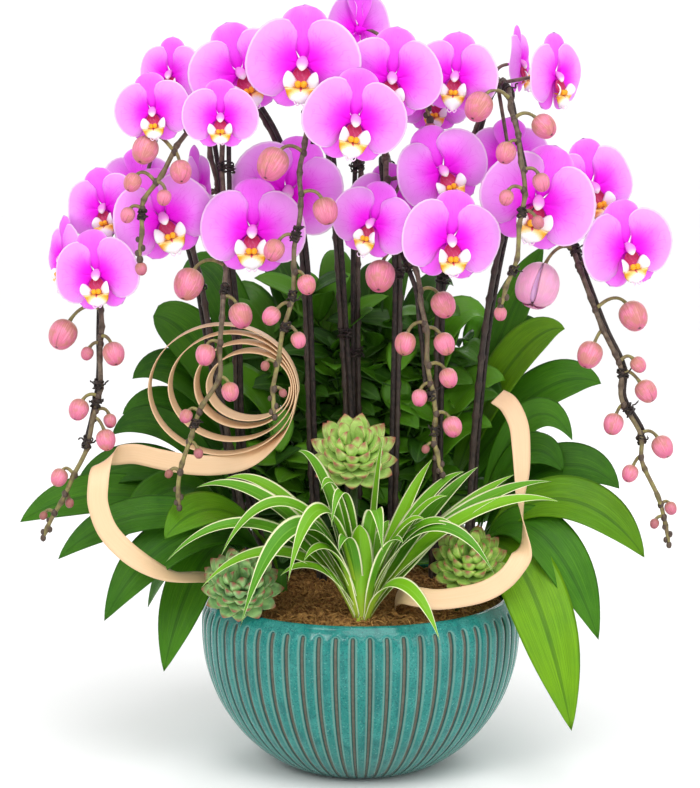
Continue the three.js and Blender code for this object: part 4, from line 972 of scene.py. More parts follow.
# millimetres: the foot, the route of the stem, knots of wire, and buds as place and radius; the
# wire runs along a share of the route, and ties stand at shares of the wire
spikes = {
    "far_left": {
        "foot": (-104, -8),
        "route": [
            (-120, -6, 260), (-140, -3, 370), (-153, 0, 446), (-162, -5, 501), (-175, -10, 546),
            (-200, -18, 569), (-225, -30, 567), (-245, -50, 547), (-252, -68, 514),
            (-254, -82, 457), (-254, -86, 420), (-258, -87, 385), (-270, -90, 339),
            (-286, -90, 304), (-299, -90, 281), (-313, -90, 251)],
        "wireSide": (-1, 1),
        "wireShare": 0.86,
        "ties": [0.35, 0.62, 0.9],
        "knots": [(-256, -88, 381), (-268, -90, 350)],
        "buds": [
            (-291, -84, 452, 13.7), (-267, -88, 434, 6.1), (-240, -98, 435, 10.6),
            (-276, -90, 379, 9.7), (-246, -84, 367, 6.4), (-249, -96, 350, 9.5),
            (-296, -92, 312, 8.2), (-287, -84, 285, 4.4), (-312, -92, 274, 3.9)],
    },
    "upper_left": {
        "foot": (-92, 14),
        "route": [
            (-108, 12, 240), (-124, 8, 332), (-127, 8, 430), (-133, 5, 506), (-142, 0, 577),
            (-149, -8, 627), (-153, -25, 662), (-154, -60, 679), (-156, -92, 676),
            (-161, -122, 658), (-173, -134, 638), (-183, -138, 622), (-194, -140, 604),
            (-206, -140, 583), (-209, -140, 554), (-210, -140, 531)],
        "wireSide": (1, -1),
        "wireShare": 0.64,
        "ties": [0.4, 0.7, 0.97],
        "knots": [(-207, -140, 575), (-163, -124, 655)],
        "buds": [
            (-204, -140, 634, 12.3), (-170, -146, 614, 10.3), (-216, -144, 604, 8.3),
            (-186, -148, 590, 6.9), (-221, -142, 573, 6.9), (-209, -140, 522, 5.7)],
    },
    "left_middle": {
        "foot": (-42, 10),
        "route": [
            (-50, 10, 291), (-56, 10, 475), (-64, 8, 556), (-82, 4, 627), (-103, -4, 668),
            (-118, -22, 684), (-129, -50, 675), (-134, -72, 650), (-134, -84, 607),
            (-133, -86, 559), (-131, -92, 519), (-134, -112, 478), (-136, -118, 443),
            (-137, -120, 415), (-156, -122, 382), (-168, -124, 347), (-177, -125, 313),
            (-176, -125, 288)],
        "wireSide": (1, -1),
        "wireShare": 0.58,
        "ties": [0.3, 0.6, 0.9],
        "knots": [(-131, -90, 492), (-170, -124, 377)],
        "buds": [
            (-167, -100, 503, 14.3), (-116, -112, 474, 11.3), (-150, -120, 437, 9.5),
            (-126, -126, 402, 8.4), (-169, -124, 378, 6.2), (-157, -126, 342, 4.6),
            (-186, -126, 322, 3.9)],
    },
    "centre_left": {
        "foot": (-12, 24),
        "route": [
            (-13, 24, 260), (-15, 22, 371), (-20, 20, 454), (-25, 14, 536), (-33, 2, 627),
            (-43, -18, 693), (-49, -55, 718), (-50, -98, 708), (-51, -122, 682), (-52, -132, 641),
            (-60, -136, 614), (-56, -138, 582), (-64, -138, 547), (-63, -138, 519),
            (-71, -138, 473), (-80, -138, 438), (-84, -138, 394), (-83, -138, 379)],
        "wireSide": (1, -1),
        "wireShare": 0.6,
        "ties": [0.35, 0.6, 0.95],
        "knots": [(-59, -138, 560), (-58, -138, 552), (-66, -138, 500), (-72, -138, 468)],
        "buds": [
            (-84, -142, 621, 14.7), (-34, -142, 577, 11.8), (-83, -144, 540, 9.8),
            (-52, -142, 507, 8.8), (-86, -140, 477, 8.4), (-60, -141, 454, 7.2),
            (-92, -139, 429, 4.3), (-75, -140, 403, 3.8)],
    },
    "centre_back": {
        "foot": (0, 50),
        "route": [
            (-2, 50, 280), (-3, 48, 418), (-3, 44, 519), (-1, 34, 610), (1, 14, 671),
            (11, -18, 710), (26, -50, 722), (43, -72, 714), (56, -82, 691), (66, -86, 660)],
        "wireSide": (-1, -1),
        "wireShare": 0.9,
        "ties": [0.3, 0.5, 0.7],
        "knots": [],
        "buds": [(66, -86, 652, 5.5)],
    },
    "centre_right": {
        "foot": (33, 13),
        "route": [
            (36, 12, 321), (38, 12, 421), (39, 8, 493), (36, -2, 557), (30, -20, 606),
            (24, -45, 627), (24, -68, 612), (30, -78, 578), (40, -86, 543), (56, -102, 503),
            (60, -111, 472), (64, -114, 438), (67, -116, 403), (73, -117, 375), (70, -118, 350),
            (79, -118, 319)],
        "wireSide": (-1, -1),
        "wireShare": 0.84,
        "ties": [0.3, 0.45, 0.72],
        "knots": [(40, -78, 510), (66, -116, 400), (74, -118, 362)],
        "buds": [
            (18, -104, 511, 14.3), (79, -110, 484, 11.8), (42, -114, 447, 10.2),
            (80, -116, 447, 10.0), (84, -116, 414, 8.8), (56, -118, 395, 7.6),
            (88, -120, 367, 9.3), (62, -119, 345, 3.9)],
    },
    "upper_right": {
        "foot": (74, 32),
        "route": [
            (77, 30, 290), (78, 30, 391), (79, 28, 484), (84, 24, 545), (97, 16, 606),
            (113, 6, 645), (121, -14, 675), (127, -45, 693), (136, -78, 696), (141, -108, 683),
            (144, -126, 663), (147, -140, 642), (152, -152, 616), (151, -159, 588),
            (148, -160, 555), (142, -157, 522), (131, -155, 487)],
        "wireSide": (1, -1),
        "wireShare": 0.80,
        "ties": [0.3, 0.42, 0.75],
        "knots": [(148, -158, 579), (140, -157, 524)],
        "buds": [
            (110, -128, 674, 13.2), (172, -136, 656, 11.1), (135, -150, 632, 9.6),
            (168, -158, 605, 8.1), (135, -162, 591, 6.9), (165, -164, 568, 5.9),
            (131, -155, 481, 6.1)],
    },
    "far_right": {
        "foot": (102, 8),
        "route": [
            (110, 10, 240), (115, 10, 332), (124, 10, 433), (135, 6, 508), (149, 0, 572),
            (167, -8, 606), (185, -24, 605), (196, -42, 578), (205, -60, 540), (220, -75, 497),
            (236, -84, 456), (253, -88, 420), (254, -89, 389), (273, -90, 355), (275, -90, 327),
            (292, -90, 291), (301, -90, 256), (303, -90, 244)],
        "wireSide": (1, 1),
        "wireShare": 0.82,
        "ties": [0.4, 0.68, 0.96],
        "knots": [(254, -90, 416), (274, -92, 350)],
        "buds": [
            (171, -92, 501, 20), (265, -84, 470, 13.7), (222, -90, 433, 12.2),
            (270, -88, 423, 7.4), (278, -90, 397, 10.4), (246, -92, 365, 9.8),
            (295, -90, 342, 10.4), (263, -92, 316, 8.0), (304, -90, 281, 6.0),
            (288, -92, 266, 4.6)],
    },
}


def stemPath(shape, spike):
    # straight up out of the medium, then along the route
    x, y = spike["foot"]
    low, high = medium["holeFloor"] / mm, medium["straightTop"] / mm
    coarse = np.array([(x, y, low), (x, y, high)] + spike["route"], float) * mm
    return smoothPath(coarse, shape["stepsPerSpan"]), len(coarse)


def stemRadius(shape, share):
    return shape["baseRadius"] + (shape["tipRadius"] - shape["baseRadius"]) * share


def stemSurface(shape, path):
    # a tapering rod with a swollen joint at every node, where the bud chain bends to and fro
    run = runOf(path)
    fine = np.linspace(0, run[-1], int(run[-1] / (4 * mm)))
    line = np.stack([np.interp(fine, run, path[:, k]) for k in range(3)], axis=1)
    share = fine / run[-1]
    beat = (fine / shape["nodeEvery"]) % 2
    joint = bell(np.minimum(beat % 1, 1 - beat % 1), 0.09)
    end = np.where(share > 0.992, np.sqrt((1 - share) / 0.008), 1)
    radius = stemRadius(shape, share) * (1 + 0.42 * joint) * end
    radius[0] = 0
    bend = (1 - 2 * np.abs(1 - beat)) * smoothStep(0.50, 0.62, share) * smoothStep(1.0, 0.97, share)
    across = carriedSides(line, (1, 0.2, 0.1))[1]
    return tube(line + across * (shape["bend"] * bend)[:, None], radius, 9, ripe=share, joint=joint)


def aroundAxis(centre, axis, height, reach, turn):
    # points at a height along an axis and a reach away from it, at an angle round it
    side = unit(np.cross(axis, (0.3, 1.0, 0.2)))
    other = np.cross(axis, side)
    return (centre + height[..., None] * axis + (reach * np.cos(turn))[..., None] * side
            + (reach * np.sin(turn))[..., None] * other)


def budSurface(centre, axis, radius, rng, opened=0.0):
    # an egg along its axis with three seams that meet at its tip: radius times sin to the 0.78,
    # less a narrow dip at every third of a turn, which gapes where the bud has opened
    t = np.linspace(0, 1, 17)[:, None]
    turn = np.linspace(0, 2 * np.pi, 29)[None]
    seams = bell(np.sin(1.5 * turn), 0.16 + 0.12 * opened)
    profile = np.sin(np.pi * t) ** 0.78 * (1 + 0.10 * np.cos(np.pi * t))
    deep = 0.065 + 0.20 * opened
    reach = radius * profile * (1 - deep * seams * smoothStep(0.25, 0.7, t))
    height = radius * 1.10 * -np.cos(np.pi * t)
    points = aroundAxis(centre, axis, height, reach, turn + rng.uniform(0, 6))
    return outward(gridSurface(points, t, turn / (2 * np.pi) * 3, length=t, seam=seams * t,
                               small=np.interp(radius / mm, [4, 7], [0.85, 0.0]), open=opened))


def openBudSurface(centre, axis, radius, rng):
    # a bud that opens: three sepals, one of them lifted, round a paler ball of petals
    t, v = shares(20, 17)
    parts = [budSurface(centre, axis, 0.90 * radius, rng, 1.0)]
    height = -1.10 * radius * np.cos(np.pi * t)
    thickness = 1.3 * mm * thinning(t, v, 0.4)
    for spin, lift in ((0.5, 0.05), (2.5, 0.20), (4.6, 0.02)):
        turn = spin + v * (0.98 - 0.30 * t ** 3)
        reach = radius * np.sin(np.pi * t) ** 0.72 * (0.97 + lift * t ** 2 + 0.05 * v ** 2)
        parts.append(shell(aroundAxis(centre, axis, height, reach, turn), thickness, t,
                           v * 0.5 + 0.5, length=t, small=0.0, open=0.40,
                           seam=0.75 * np.abs(v) ** 10 * t))
    return joined(parts)


def budParts(shape, path, bud, rng):
    # a bud hangs from its stalk with its tip turned down, out and a little to the front
    centre, radius = np.array(bud[:3]) * mm, bud[3] * mm
    root = path[nearest(path, centre + np.array([0, 0, 1.5 * radius]))]
    out = unit(centre - root)
    axis = unit(out * [0.45, 0.18, 0.135] + np.array([0, -0.55, -0.80]) + rng.normal(0, 0.10, 3))
    top = centre - axis * radius * 1.02
    reach = np.linalg.norm(top - root)
    line = bezier(root, root + out * reach * 0.35 + np.array([0, 0, 0.45 * reach]),
                  top - axis * reach * 0.55, top + axis * radius * 0.25, 12)
    share = np.linspace(0, 1, len(line))
    width = shape["stalkRadius"] * (1.15 - 0.25 * share + 0.55 * smoothStep(0.75, 1, share))
    width[[0, -1]] = 0
    stalk = tube(line, width, 7, ripe=0.95, joint=0.0)
    surface = openBudSurface if radius > shape["openFrom"] else budSurface
    return stalk, surface(centre, axis, radius, rng), root


def pedicelSurface(shape, path, bloom):
    # a flower stalk from the stem to the neck behind the bloom
    back = bloomTurn(bloom) @ np.array([0.0, 1.0, 0.0])
    reach = shape["neckEnd"] * bloom["size"] * mm + shape["seatGap"]
    end = np.array(bloom["at"]) * mm + back * reach
    behind = path[(path - end) @ back > 3 * mm]
    if "root" in bloom:
        root = path[nearest(path, np.array(bloom["root"]) * mm)]
    else:
        behind = behind if len(behind) else path
        root = behind[nearest(behind, end)]
    bend = root + (end - root) * 0.35 + back * bloom.get("bow", 0) * mm
    run = np.linalg.norm(end - root) * 0.45
    line = bezier(root, bend, end + back * run, end - back * 3 * mm, 16)
    width = shape["pedicelRadius"] * (1.2 - 0.2 * np.linspace(0, 1, len(line)))
    width[[0, -1]] = 0
    return tube(line, width, 8, ripe=0.8, joint=0.0), root


def bractSurface(place, radius):
    # the small knobby scale where a stalk leaves the stem
    return egg(place, [0, 0, 1.35 * radius], radius, 8, ripe=0.55, joint=0.8)


def endKnobs(path):
    # the unopened knobs crowded round the end of the chain: how far back, how far aside, radius
    back = unit(path[-2] - path[-1])
    side = unit(np.cross(back, (0.0, 1.0, 0.0)))
    knobs = [(0.5, 0.0, 2.9), (6.0, 2.6, 2.5), (11.0, -2.4, 2.7), (19.0, 2.4, 2.3)]
    return [bractSurface(path[-1] + (back * far + side * off) * mm, size * mm)
            for far, off, size in knobs]


def spikeSurfaces(shape, name, number):
    rng = np.random.default_rng(shape["seed"] + number)
    path = stemPath(shape, spikes[name])[0]
    stems = [stemSurface(shape, path)] + endKnobs(path)
    buds = []
    for bud in spikes[name]["buds"]:
        stalk, skin, root = budParts(shape, path, bud, rng)
        stems += [stalk, bractSurface(root, 3.3 * mm)]
        buds.append(skin)
    for bloom in blooms:
        if bloom["spike"] == name:
            stalk, root = pedicelSurface(shape, path, bloom)
            stems += [stalk, bractSurface(root, 3.9 * mm)]
    return joined(stems), joined(buds)


tie = {"loops": 6.3, "points": 96, "radius": 0.85 * mm, "seed": 500}


def tieSurface(centre, along, outwards, stem, reach, rng):
    # dark wire wound round the stem, and round the stake where it runs along, in uneven loops,
    # with two twisted tails
    turn = np.linspace(0, 2 * np.pi * tie["loops"], tie["points"])
    other = np.cross(along, outwards)
    wire = spikeShape["wireRadius"]
    middle = centre + outwards * max(reach - stem + wire, 0) / 2
    long = (max(reach + wire, stem) + stem) / 2 + 1.2 * mm
    short = max(stem, wire) + 1.3 * mm
    loose = 1 + 0.30 * np.sin(0.73 * turn + rng.uniform(0, 6)) * np.sin(0.31 * turn)
    lift = (3.6 * np.sin(turn / 6.5 + rng.uniform(0, 1)) + 1.9 * np.sin(1.37 * turn)) * mm
    path = (middle + np.outer(np.cos(turn) * long * loose, outwards)
            + np.outer(np.sin(turn) * short * loose, other) + np.outer(lift, along))
    tails = []
    for end, heading in ((path[-1], 1), (path[0], -1)):
        step = (outwards * 0.5 + other * heading * 0.7 - along * 0.3) * mm
        tails.append(end + np.cumsum(rng.normal(0, 0.9, (7, 3)) * mm + step, axis=0))
    line = np.concatenate([tails[1][::-1], path, tails[0]])
    width = np.full(len(line), tie["radius"])
    width[[0, -1]] = 0
    return tube(line, width, 5)


def stakeSurface(shape, name, number):
    # the bent wire beside the stem, with its ties, and the knots of wire further down the chain
    rng = np.random.default_rng(tie["seed"] + number)
    spike = spikes[name]
    path, places = stemPath(shape, spike)
    along, across = carriedSides(path, (*spike["wireSide"], 0))
    last = (round(places * spike["wireShare"]) - 1) * shape["stepsPerSpan"]
    line = (path + across * shape["wireOffset"])[:last + 1]
    parts = [rod(line, shape["wireRadius"], 8)]
    knots = [nearest(path, np.array(knot) * mm) for knot in spike["knots"]]
    for k in [int(last * share) for share in spike["ties"]] + knots:
        reach = shape["wireOffset"] if k <= last else 0.0
        stem = stemRadius(shape, k / len(path))
        parts.append(tieSurface(path[k], along[k], across[k], stem, reach, rng))
    return joined(parts)


def stemMaterial():
    # dark at the foot, grey-brown along the bow and olive towards the chain's end
    material, tree, spot, uv = newMaterial("stemBrown", 0.45, Specular_IOR_Level=0.4)
    ripe = readValue(tree, "ripe")
    fine = noise(tree, stretched(tree, spot, (500, 500, 160)), 1.0, 3.0)
    tone = mottled(tree, spot, 90.0, 0.9, (0.058, 0.039, 0.029), (0.018, 0.012, 0.010))
    brown = mottled(tree, spot, 150.0, 0.9, (0.165, 0.120, 0.080), (0.055, 0.034, 0.024))
    olive = mottled(tree, spot, 170.0, 0.8, (0.270, 0.240, 0.075), (0.140, 0.092, 0.050))
    tone = painted(tree, tone, brown, ripe, 0.40, 0.60)
    tone = painted(tree, tone, olive, ripe, 0.78, 0.96)
    tone = painted(tree, tone, (0.240, 0.190, 0.135), fine, 0.55, 0.72, 0.25)
    joint = times(tree, readValue(tree, "joint"), 0.75)
    tone = mixColours(tree, joint, tone, (0.050, 0.028, 0.020))
    return finished(material, tone, fine, 0.0009, 0.4)


def budMaterial():
    # olive-brown where it hangs, pink down to a crimson end, with brown seams and clouds
    material, tree, spot, uv = newMaterial(
        "budSkin", 0.42, Specular_IOR_Level=0.35, Subsurface_Weight=0.12,
        Subsurface_Radius=(0.004, 0.002, 0.001), Subsurface_Scale=1.0)
    length = readValue(tree, "length")
    line, streak = veined(tree, uv, 12.0, 1.6, 0.08)
    cloud = noise(tree, spot, 95.0, 3.0)
    tone = mixColours(tree, between(tree, length, 0.08, 0.56), (0.300, 0.190, 0.065),
                      (0.800, 0.240, 0.370))
    tone = painted(tree, tone, (0.660, 0.130, 0.270), length, 0.50, 0.96)
    tone = painted(tree, tone, (0.520, 0.230, 0.120), cloud, 0.42, 0.64, 0.65)
    tone = painted(tree, tone, (0.960, 0.500, 0.620), streak, 0.45, 0.75, 0.25)
    tone = mixColours(tree, times(tree, line, 0.30), tone, (0.400, 0.085, 0.110))
    tone = mixColours(tree, readValue(tree, "small"), tone, (0.260, 0.100, 0.075))
    tone = mixColours(tree, readValue(tree, "open"), tone, (0.960, 0.560, 0.930))
    tone = painted(tree, tone, (0.220, 0.060, 0.060), readValue(tree, "seam"), 0.35, 0.9, 0.75)
    tone = painted(tree, tone, (0.050, 0.018, 0.015), length, 0.955, 0.995)
    return finished(material, tone, streak, 0.0006, 0.35)


def stakeMaterial():
    material, tree, spot, uv = newMaterial("stakeWire", 0.55, Specular_IOR_Level=0.35)
    tone = mottled(tree, spot, 220.0, 0.9, (0.012, 0.008, 0.007), (0.044, 0.029, 0.023))
    rings = noise(tree, stretched(tree, spot, (60, 60, 700)), 1.0, 2.0)
    return finished(material, tone, rings, 0.0008, 0.7)


stemBrown, budPink, stakeDark = stemMaterial(), budMaterial(), stakeMaterial()
for number, name in enumerate(spikes):
    stems, buds = spikeSurfaces(spikeShape, name, number)
    stake = stakeSurface(spikeShape, name, number)
    addPiece("spike_" + name + "_stem", stems, stemBrown, "spike", "spike_" + name)
    addPiece("spike_" + name + "_buds", buds, budPink, "spike", "spike_" + name)
    addPiece("stake_" + name + "_wire", stake, stakeDark, "stake", "stake_" + name)
print("spikes ready")


# leaves, grass and succulents: arched blades along a curve from root to tip

leafShape = {
    "thickness": 1.7 * mm,
    "crownRadius": 8 * mm,
    "rootHeight": 188,       # millimetres, and the step from one leaf to the next
    "rootStep": 6,
    "facing": 48.0,          # degrees a side leaf turns its upper face to the front
    "rows": 40,
    "cols": 17,
    "widest": 1.55,
    "fullness": 0.62,
    "channel": 0.26,
    "roundEnd": {"widest": 1.9, "fullness": 0.52, "point": 0.0},
    "seed": 700,
}
leafKeys = ("tip", "rise", "width", "bright", "round")   # in millimetres, and a share
leafFans = {
    "leaves_left_front": {"crown": (-82, -24), "leaves": [
        ((-253, -100, 170), 96, 52), ((-298, -95, 231), 76, 42), ((-190, -136, 260), 62, 46, 0.45)]},
    "leaves_left": {"crown": (-120, 36), "leaves": [
        ((-198, -60, 108), 86, 50), ((-225, 80, 140), 66, 44), ((-236, -62, 246), 84, 46),
        ((-342, -40, 257), 60, 48), ((-295, 10, 273), 80, 46), ((-255, 30, 334), 78, 38)]},
    "leaves_left_back": {"crown": (-84, 78), "leaves": [
        ((-215, 165, 250), 70, 48), ((-248, 70, 349), 85, 50), ((-236, 58, 388), 104, 50),
        ((-216, 84, 450), 78, 64, 0.0, True), ((-190, 130, 485), 140, 50)]},
    "leaves_right_front": {"crown": (110, -16), "leaves": [
        ((205, -140, 70), 120, 64, 1.0), ((234, -100, 151), 108, 52),
        ((281, -74, 228), 90, 52, 0.6)]},
    "leaves_right": {"crown": (116, 34), "leaves": [
        ((214, 0, 190), 60, 45), ((211, 60, 150), 66, 44), ((264, 8, 282), 78, 50),
        ((206, 6, 300), 80, 40), ((219, 48, 325), 102, 38)]},
    "leaves_right_back": {"crown": (80, 84), "leaves": [
        ((220, 150, 290), 70, 46), ((215, 84, 345), 80, 42), ((251, 78, 380), 85, 54),
        ((212, 74, 438), 84, 50, 0.7), ((186, 112, 442), 74, 46), ((192, 116, 520), 40, 44)]},
    "leaves_back": {"crown": (0, 122), "leaves": [
        ((-120, 235, 200), 66, 52), ((115, 235, 210), 70, 52), ((-10, 275, 262), 85, 54),
        ((-70, 215, 345), 110, 50), ((60, 210, 360), 130, 50)]},
}


def bladeFrame(root, tip, rise, rows, facing):
    # the blade's middle line, its level side direction and its upper normal, both turned about
    # the line by the facing angle times how far the blade runs sideways
    span = tip - root
    lift = np.array([0, 0, rise])
    line = bezier(root, root + 0.2 * span + lift, root + 0.68 * span + lift, tip, rows - 1)
    along = unit(np.gradient(line, axis=0))
    level = unit(np.array([span[1], -span[0], 0.0]))
    face = unit(np.cross(level, along))
    angle = np.radians(facing) * -level[1] * smoothStep(0.0, 0.35, np.linspace(0, 1, rows))
    side = level * np.cos(angle)[:, None] - face * np.sin(angle)[:, None]
    return line, side, unit(np.cross(side, along))


def bladeSurface(root, tip, rise, width, thickness, rng, spec, bright=0.0):
    # half width = half the width times sin(pi t to the widest) to the fullness; the halves rise
    # from the midrib by the channel share, and the rim waves a little
    line, side, face = bladeFrame(root, tip, rise, spec["rows"], spec["facing"])
    t, v = shares(spec["rows"], spec["cols"])
    pointed = spec["fullness"] + spec.get("point", 0.22) * smoothStep(0.75, 1.0, t)
    neck = spec.get("neck", 0.0) * smoothStep(1, 0.5, t) * np.sign(t) * (t < 0.6)
    half = width / 2 * np.maximum(np.sin(np.pi * t ** spec["widest"]) ** pointed, neck)
    lift = (spec["channel"] * np.abs(v) ** 1.4
            + wave(rng, (0.02, 0.06), (5, 9), t) * v * np.abs(v))
    points = (line[:, None] + side[:, None] * (half * v)[..., None]
              + face[:, None] * (half * lift)[..., None])
    body = thickness * thinning(t, v, 0.4) * (1 + 0.6 * bell(v, 0.12))
    return shell(points, body, t, v * 0.5 + 0.5, tone=rng.uniform(0, 1), bright=bright,
                 middle=bell(v, 0.10), along=t)


def listedBlade(root, leaf, thickness, rng, spec, wider=1.0):
    # a blade from its row in a table
    return bladeSurface(root, np.array(leaf["tip"]) * mm, leaf["rise"] * mm,
                        wider * leaf["width"] * mm, thickness, rng, spec, leaf.get("bright", 0.0))


def fanRoot(crown, leaf, spread, height):
    # where a blade leaves its crown, a little towards its tip
    out = unit(np.array(leaf["tip"][:2]) * mm - crown) * spread
    return np.array([*(crown + out), height])


def postSurface(crown, high, radius):
    # the round crown that the blades grow from, closed at both ends
    low = medium["holeFloor"]
    z = np.array([low, low, (low + high) / 2, high - 2 * mm, high])
    return tube(xyz(*crown, z), np.array([0, 1, 1, 0.85, 0]) * radius, 14, first=(1, 0, 0),
                tone=0.5, along=0.1)


def leafFanSurface(shape, fan, number):
    rng = np.random.default_rng(shape["seed"] + number)
    crown = np.array(fan["crown"]) * mm
    heights = (shape["rootHeight"] + shape["rootStep"] * np.arange(len(fan["leaves"]) + 1)) * mm
    parts = [postSurface(crown, heights[-1], shape["crownRadius"])]
    for leaf, height in zip(named(leafKeys, fan["leaves"]), heights):
        root = fanRoot(crown, leaf, shape["crownRadius"] * 0.2, height)
        outline = shape | (shape["roundEnd"] if "round" in leaf else {})
        parts.append(listedBlade(root, leaf, shape["thickness"], rng, outline))
    return joined(parts)


def leafMaterial():
    material, tree, spot, uv = newMaterial("orchidLeaf", 0.36, Specular_IOR_Level=0.17)
    line, streak = veined(tree, uv, 44.0, 3.0, 0.10)
    middle = readValue(tree, "middle")
    tone = mixColours(tree, readValue(tree, "tone"), (0.016, 0.090, 0.003), (0.052, 0.200, 0.006))
    tone = mixColours(tree, readValue(tree, "bright"), tone, (0.170, 0.380, 0.006))
    tone = mottled(tree, spot, 24.0, 0.35, tone, (0.085, 0.270, 0.012))
    tone = painted(tree, tone, (0.125, 0.310, 0.008), streak, 0.45, 0.78, 0.28)
    tone = mixColours(tree, times(tree, line, 0.30), tone, (0.008, 0.045, 0.003))
    # painted shade in the groove along the midrib
    tone = painted(tree, tone, (0.010, 0.060, 0.004), middle, 0.15, 0.75, 0.45)
    tone = painted(tree, tone, (0.140, 0.330, 0.020), middle, 0.92, 1.0, 0.35)
    return finished(material, tone, streak, 0.0016, 0.45)


leafGreen = leafMaterial()
for number, (name, fan) in enumerate(leafFans.items()):
    addPiece(name + "_blades", leafFanSurface(leafShape, fan, number), leafGreen, "leaf", name)
print("leaves ready")


# the dark filler foliage: a bush of small oval leaves and long straps behind the spikes

filler = {
    "foot": (-24, 86),
    "trunkTop": (-10, 88, 400),
    "trunkRadius": 3 * mm,
    "twigRadius": 1.8 * mm,
    "branches": named(("from", "tip", "bright"), [
        (200, (-84, 48, 222)), (200, (-34, 40, 228)), (201, (50, 46, 222)), (202, (100, 46, 232)),
        (202, (-60, 66, 258)), (206, (-132, 64, 268)), (210, (62, 66, 262)), (216, (124, 70, 276)),
        (228, (-96, 96, 322)), (232, (-84, 42, 312), 0.8), (236, (-20, 52, 306), 0.3),
        (244, (92, 96, 330)), (250, (104, 60, 352)), (256, (36, 60, 352)), (268, (-128, 100, 372)),
        (280, (-70, 84, 368)), (292, (72, 84, 388)), (304, (118, 104, 398)), (314, (112, 84, 424)),
        (322, (-92, 104, 428)), (334, (-30, 70, 420)), (346, (28, 96, 446)), (362, (76, 96, 446)),
        (376, (-58, 100, 474)), (262, (72, 88, 358)),
    ]),
    "leavesEach": 12,
    "leafLength": 66 * mm,
    "leafWidth": 29 * mm,
    "leafRise": 9 * mm,
    "leafThickness": 1.0 * mm,
    "leaf": {"rows": 12, "cols": 7, "widest": 0.95, "fullness": 0.72, "channel": 0.30, "facing": 45.0},
    "straps": named(("root", "tip", "rise", "width", "bright"), [
        ((-44, 84), (-150, 120, 452), 150, 44), ((-36, 92), (-106, 128, 506), 140, 42),
        ((-30, 96), (-66, 108, 486), 120, 40), ((-18, 98), (-28, 132, 515), 110, 42),
        ((-8, 98), (16, 116, 502), 100, 40), ((4, 94), (52, 100, 508), 120, 42),
        ((12, 88), (98, 116, 478), 130, 42), ((16, 82), (136, 104, 440), 140, 44),
        ((30, 74), (150, 60, 386), 84, 50, 0.8), ((30, 66), (136, 40, 340), 70, 44, 0.6),
        ((-56, 80), (-150, 40, 372), 110, 54, 0.4), ((-52, 70), (-148, 24, 300), 70, 46),
        ((24, 70), (152, 50, 240), 42, 46), ((-4, 70), (98, 60, 196), 14, 36),
        ((-24, 70), (-104, 58, 190), 12, 36), ((24, 86), (108, 94, 448), 70, 48),
    ]),
    "strapFoot": 186 * mm,
    "strapThickness": 1.4 * mm,
    "strap": {"rows": 26, "cols": 11, "widest": 1.35, "fullness": 0.66, "channel": 0.30,
              "facing": 40.0},
    "seed": 11,
}


def fillerSurface(spec):
    rng = np.random.default_rng(spec["seed"])
    foot = np.array(spec["foot"]) * mm
    base = np.array([*foot, medium["straightTop"]])
    top = np.array(spec["trunkTop"]) * mm
    parts = [rod(np.array([[*foot, medium["holeFloor"]], base, top]),
                 np.array([1, 1, 0.8]) * spec["trunkRadius"], 8, tone=0.2)]
    for branch in spec["branches"]:
        start = base + (top - base) * (branch["from"] * mm - base[2]) / (top[2] - base[2])
        end = np.array(branch["tip"]) * mm
        line = bezier(start, start + (end - start) * 0.4 - [0, 0, 10 * mm],
                      start + (end - start) * 0.7, end, 12)
        parts.append(tube(line, np.linspace(spec["twigRadius"], 0, len(line)), 6, tone=0.2))
        for k in range(spec["leavesEach"]):
            root = line[2 + int(10 * k / (spec["leavesEach"] - 1))]
            angle = k * 2.4 + rng.uniform(0, 0.6)
            length = spec["leafLength"] * rng.uniform(0.7, 1.25)
            tip = root + length * np.array([math.cos(angle), 0.45 * math.sin(angle) - 0.2,
                                            rng.uniform(-0.35, 0.75)])
            width = spec["leafWidth"] * rng.uniform(0.8, 1.1)
            parts.append(bladeSurface(root, tip, spec["leafRise"], width, spec["leafThickness"],
                                      rng, spec["leaf"], branch.get("bright", 0.0)))
    for strap in spec["straps"]:
        root = np.array([*(np.array(strap["root"]) * mm), spec["strapFoot"]])
        parts.append(listedBlade(root, strap, spec["strapThickness"], rng, spec["strap"]))
    return joined(parts)


def fillerMaterial():
    material, tree, spot, uv = newMaterial("fillerLeaf", 0.38, Specular_IOR_Level=0.3)
    streak = veined(tree, uv, 22.0, 8.0, 0.1)[1]
    tone = mixColours(tree, between(tree, readValue(tree, "tone"), 0.1, 1.0),
                      (0.018, 0.080, 0.004), (0.100, 0.320, 0.010))
    tone = mixColours(tree, readValue(tree, "bright"), tone, (0.110, 0.330, 0.012))
    tone = painted(tree, tone, (0.110, 0.300, 0.012), streak, 0.5, 0.8, 0.35)
    tone = painted(tree, tone, (0.110, 0.280, 0.040), readValue(tree, "middle"), 0.55, 1.0, 0.4)
    return finished(material, tone, streak, 0.0012, 0.45)


addPiece("filler_bush", fillerSurface(filler), fillerMaterial(), "filler", "filler_foliage")


# the striped grass at the front rim

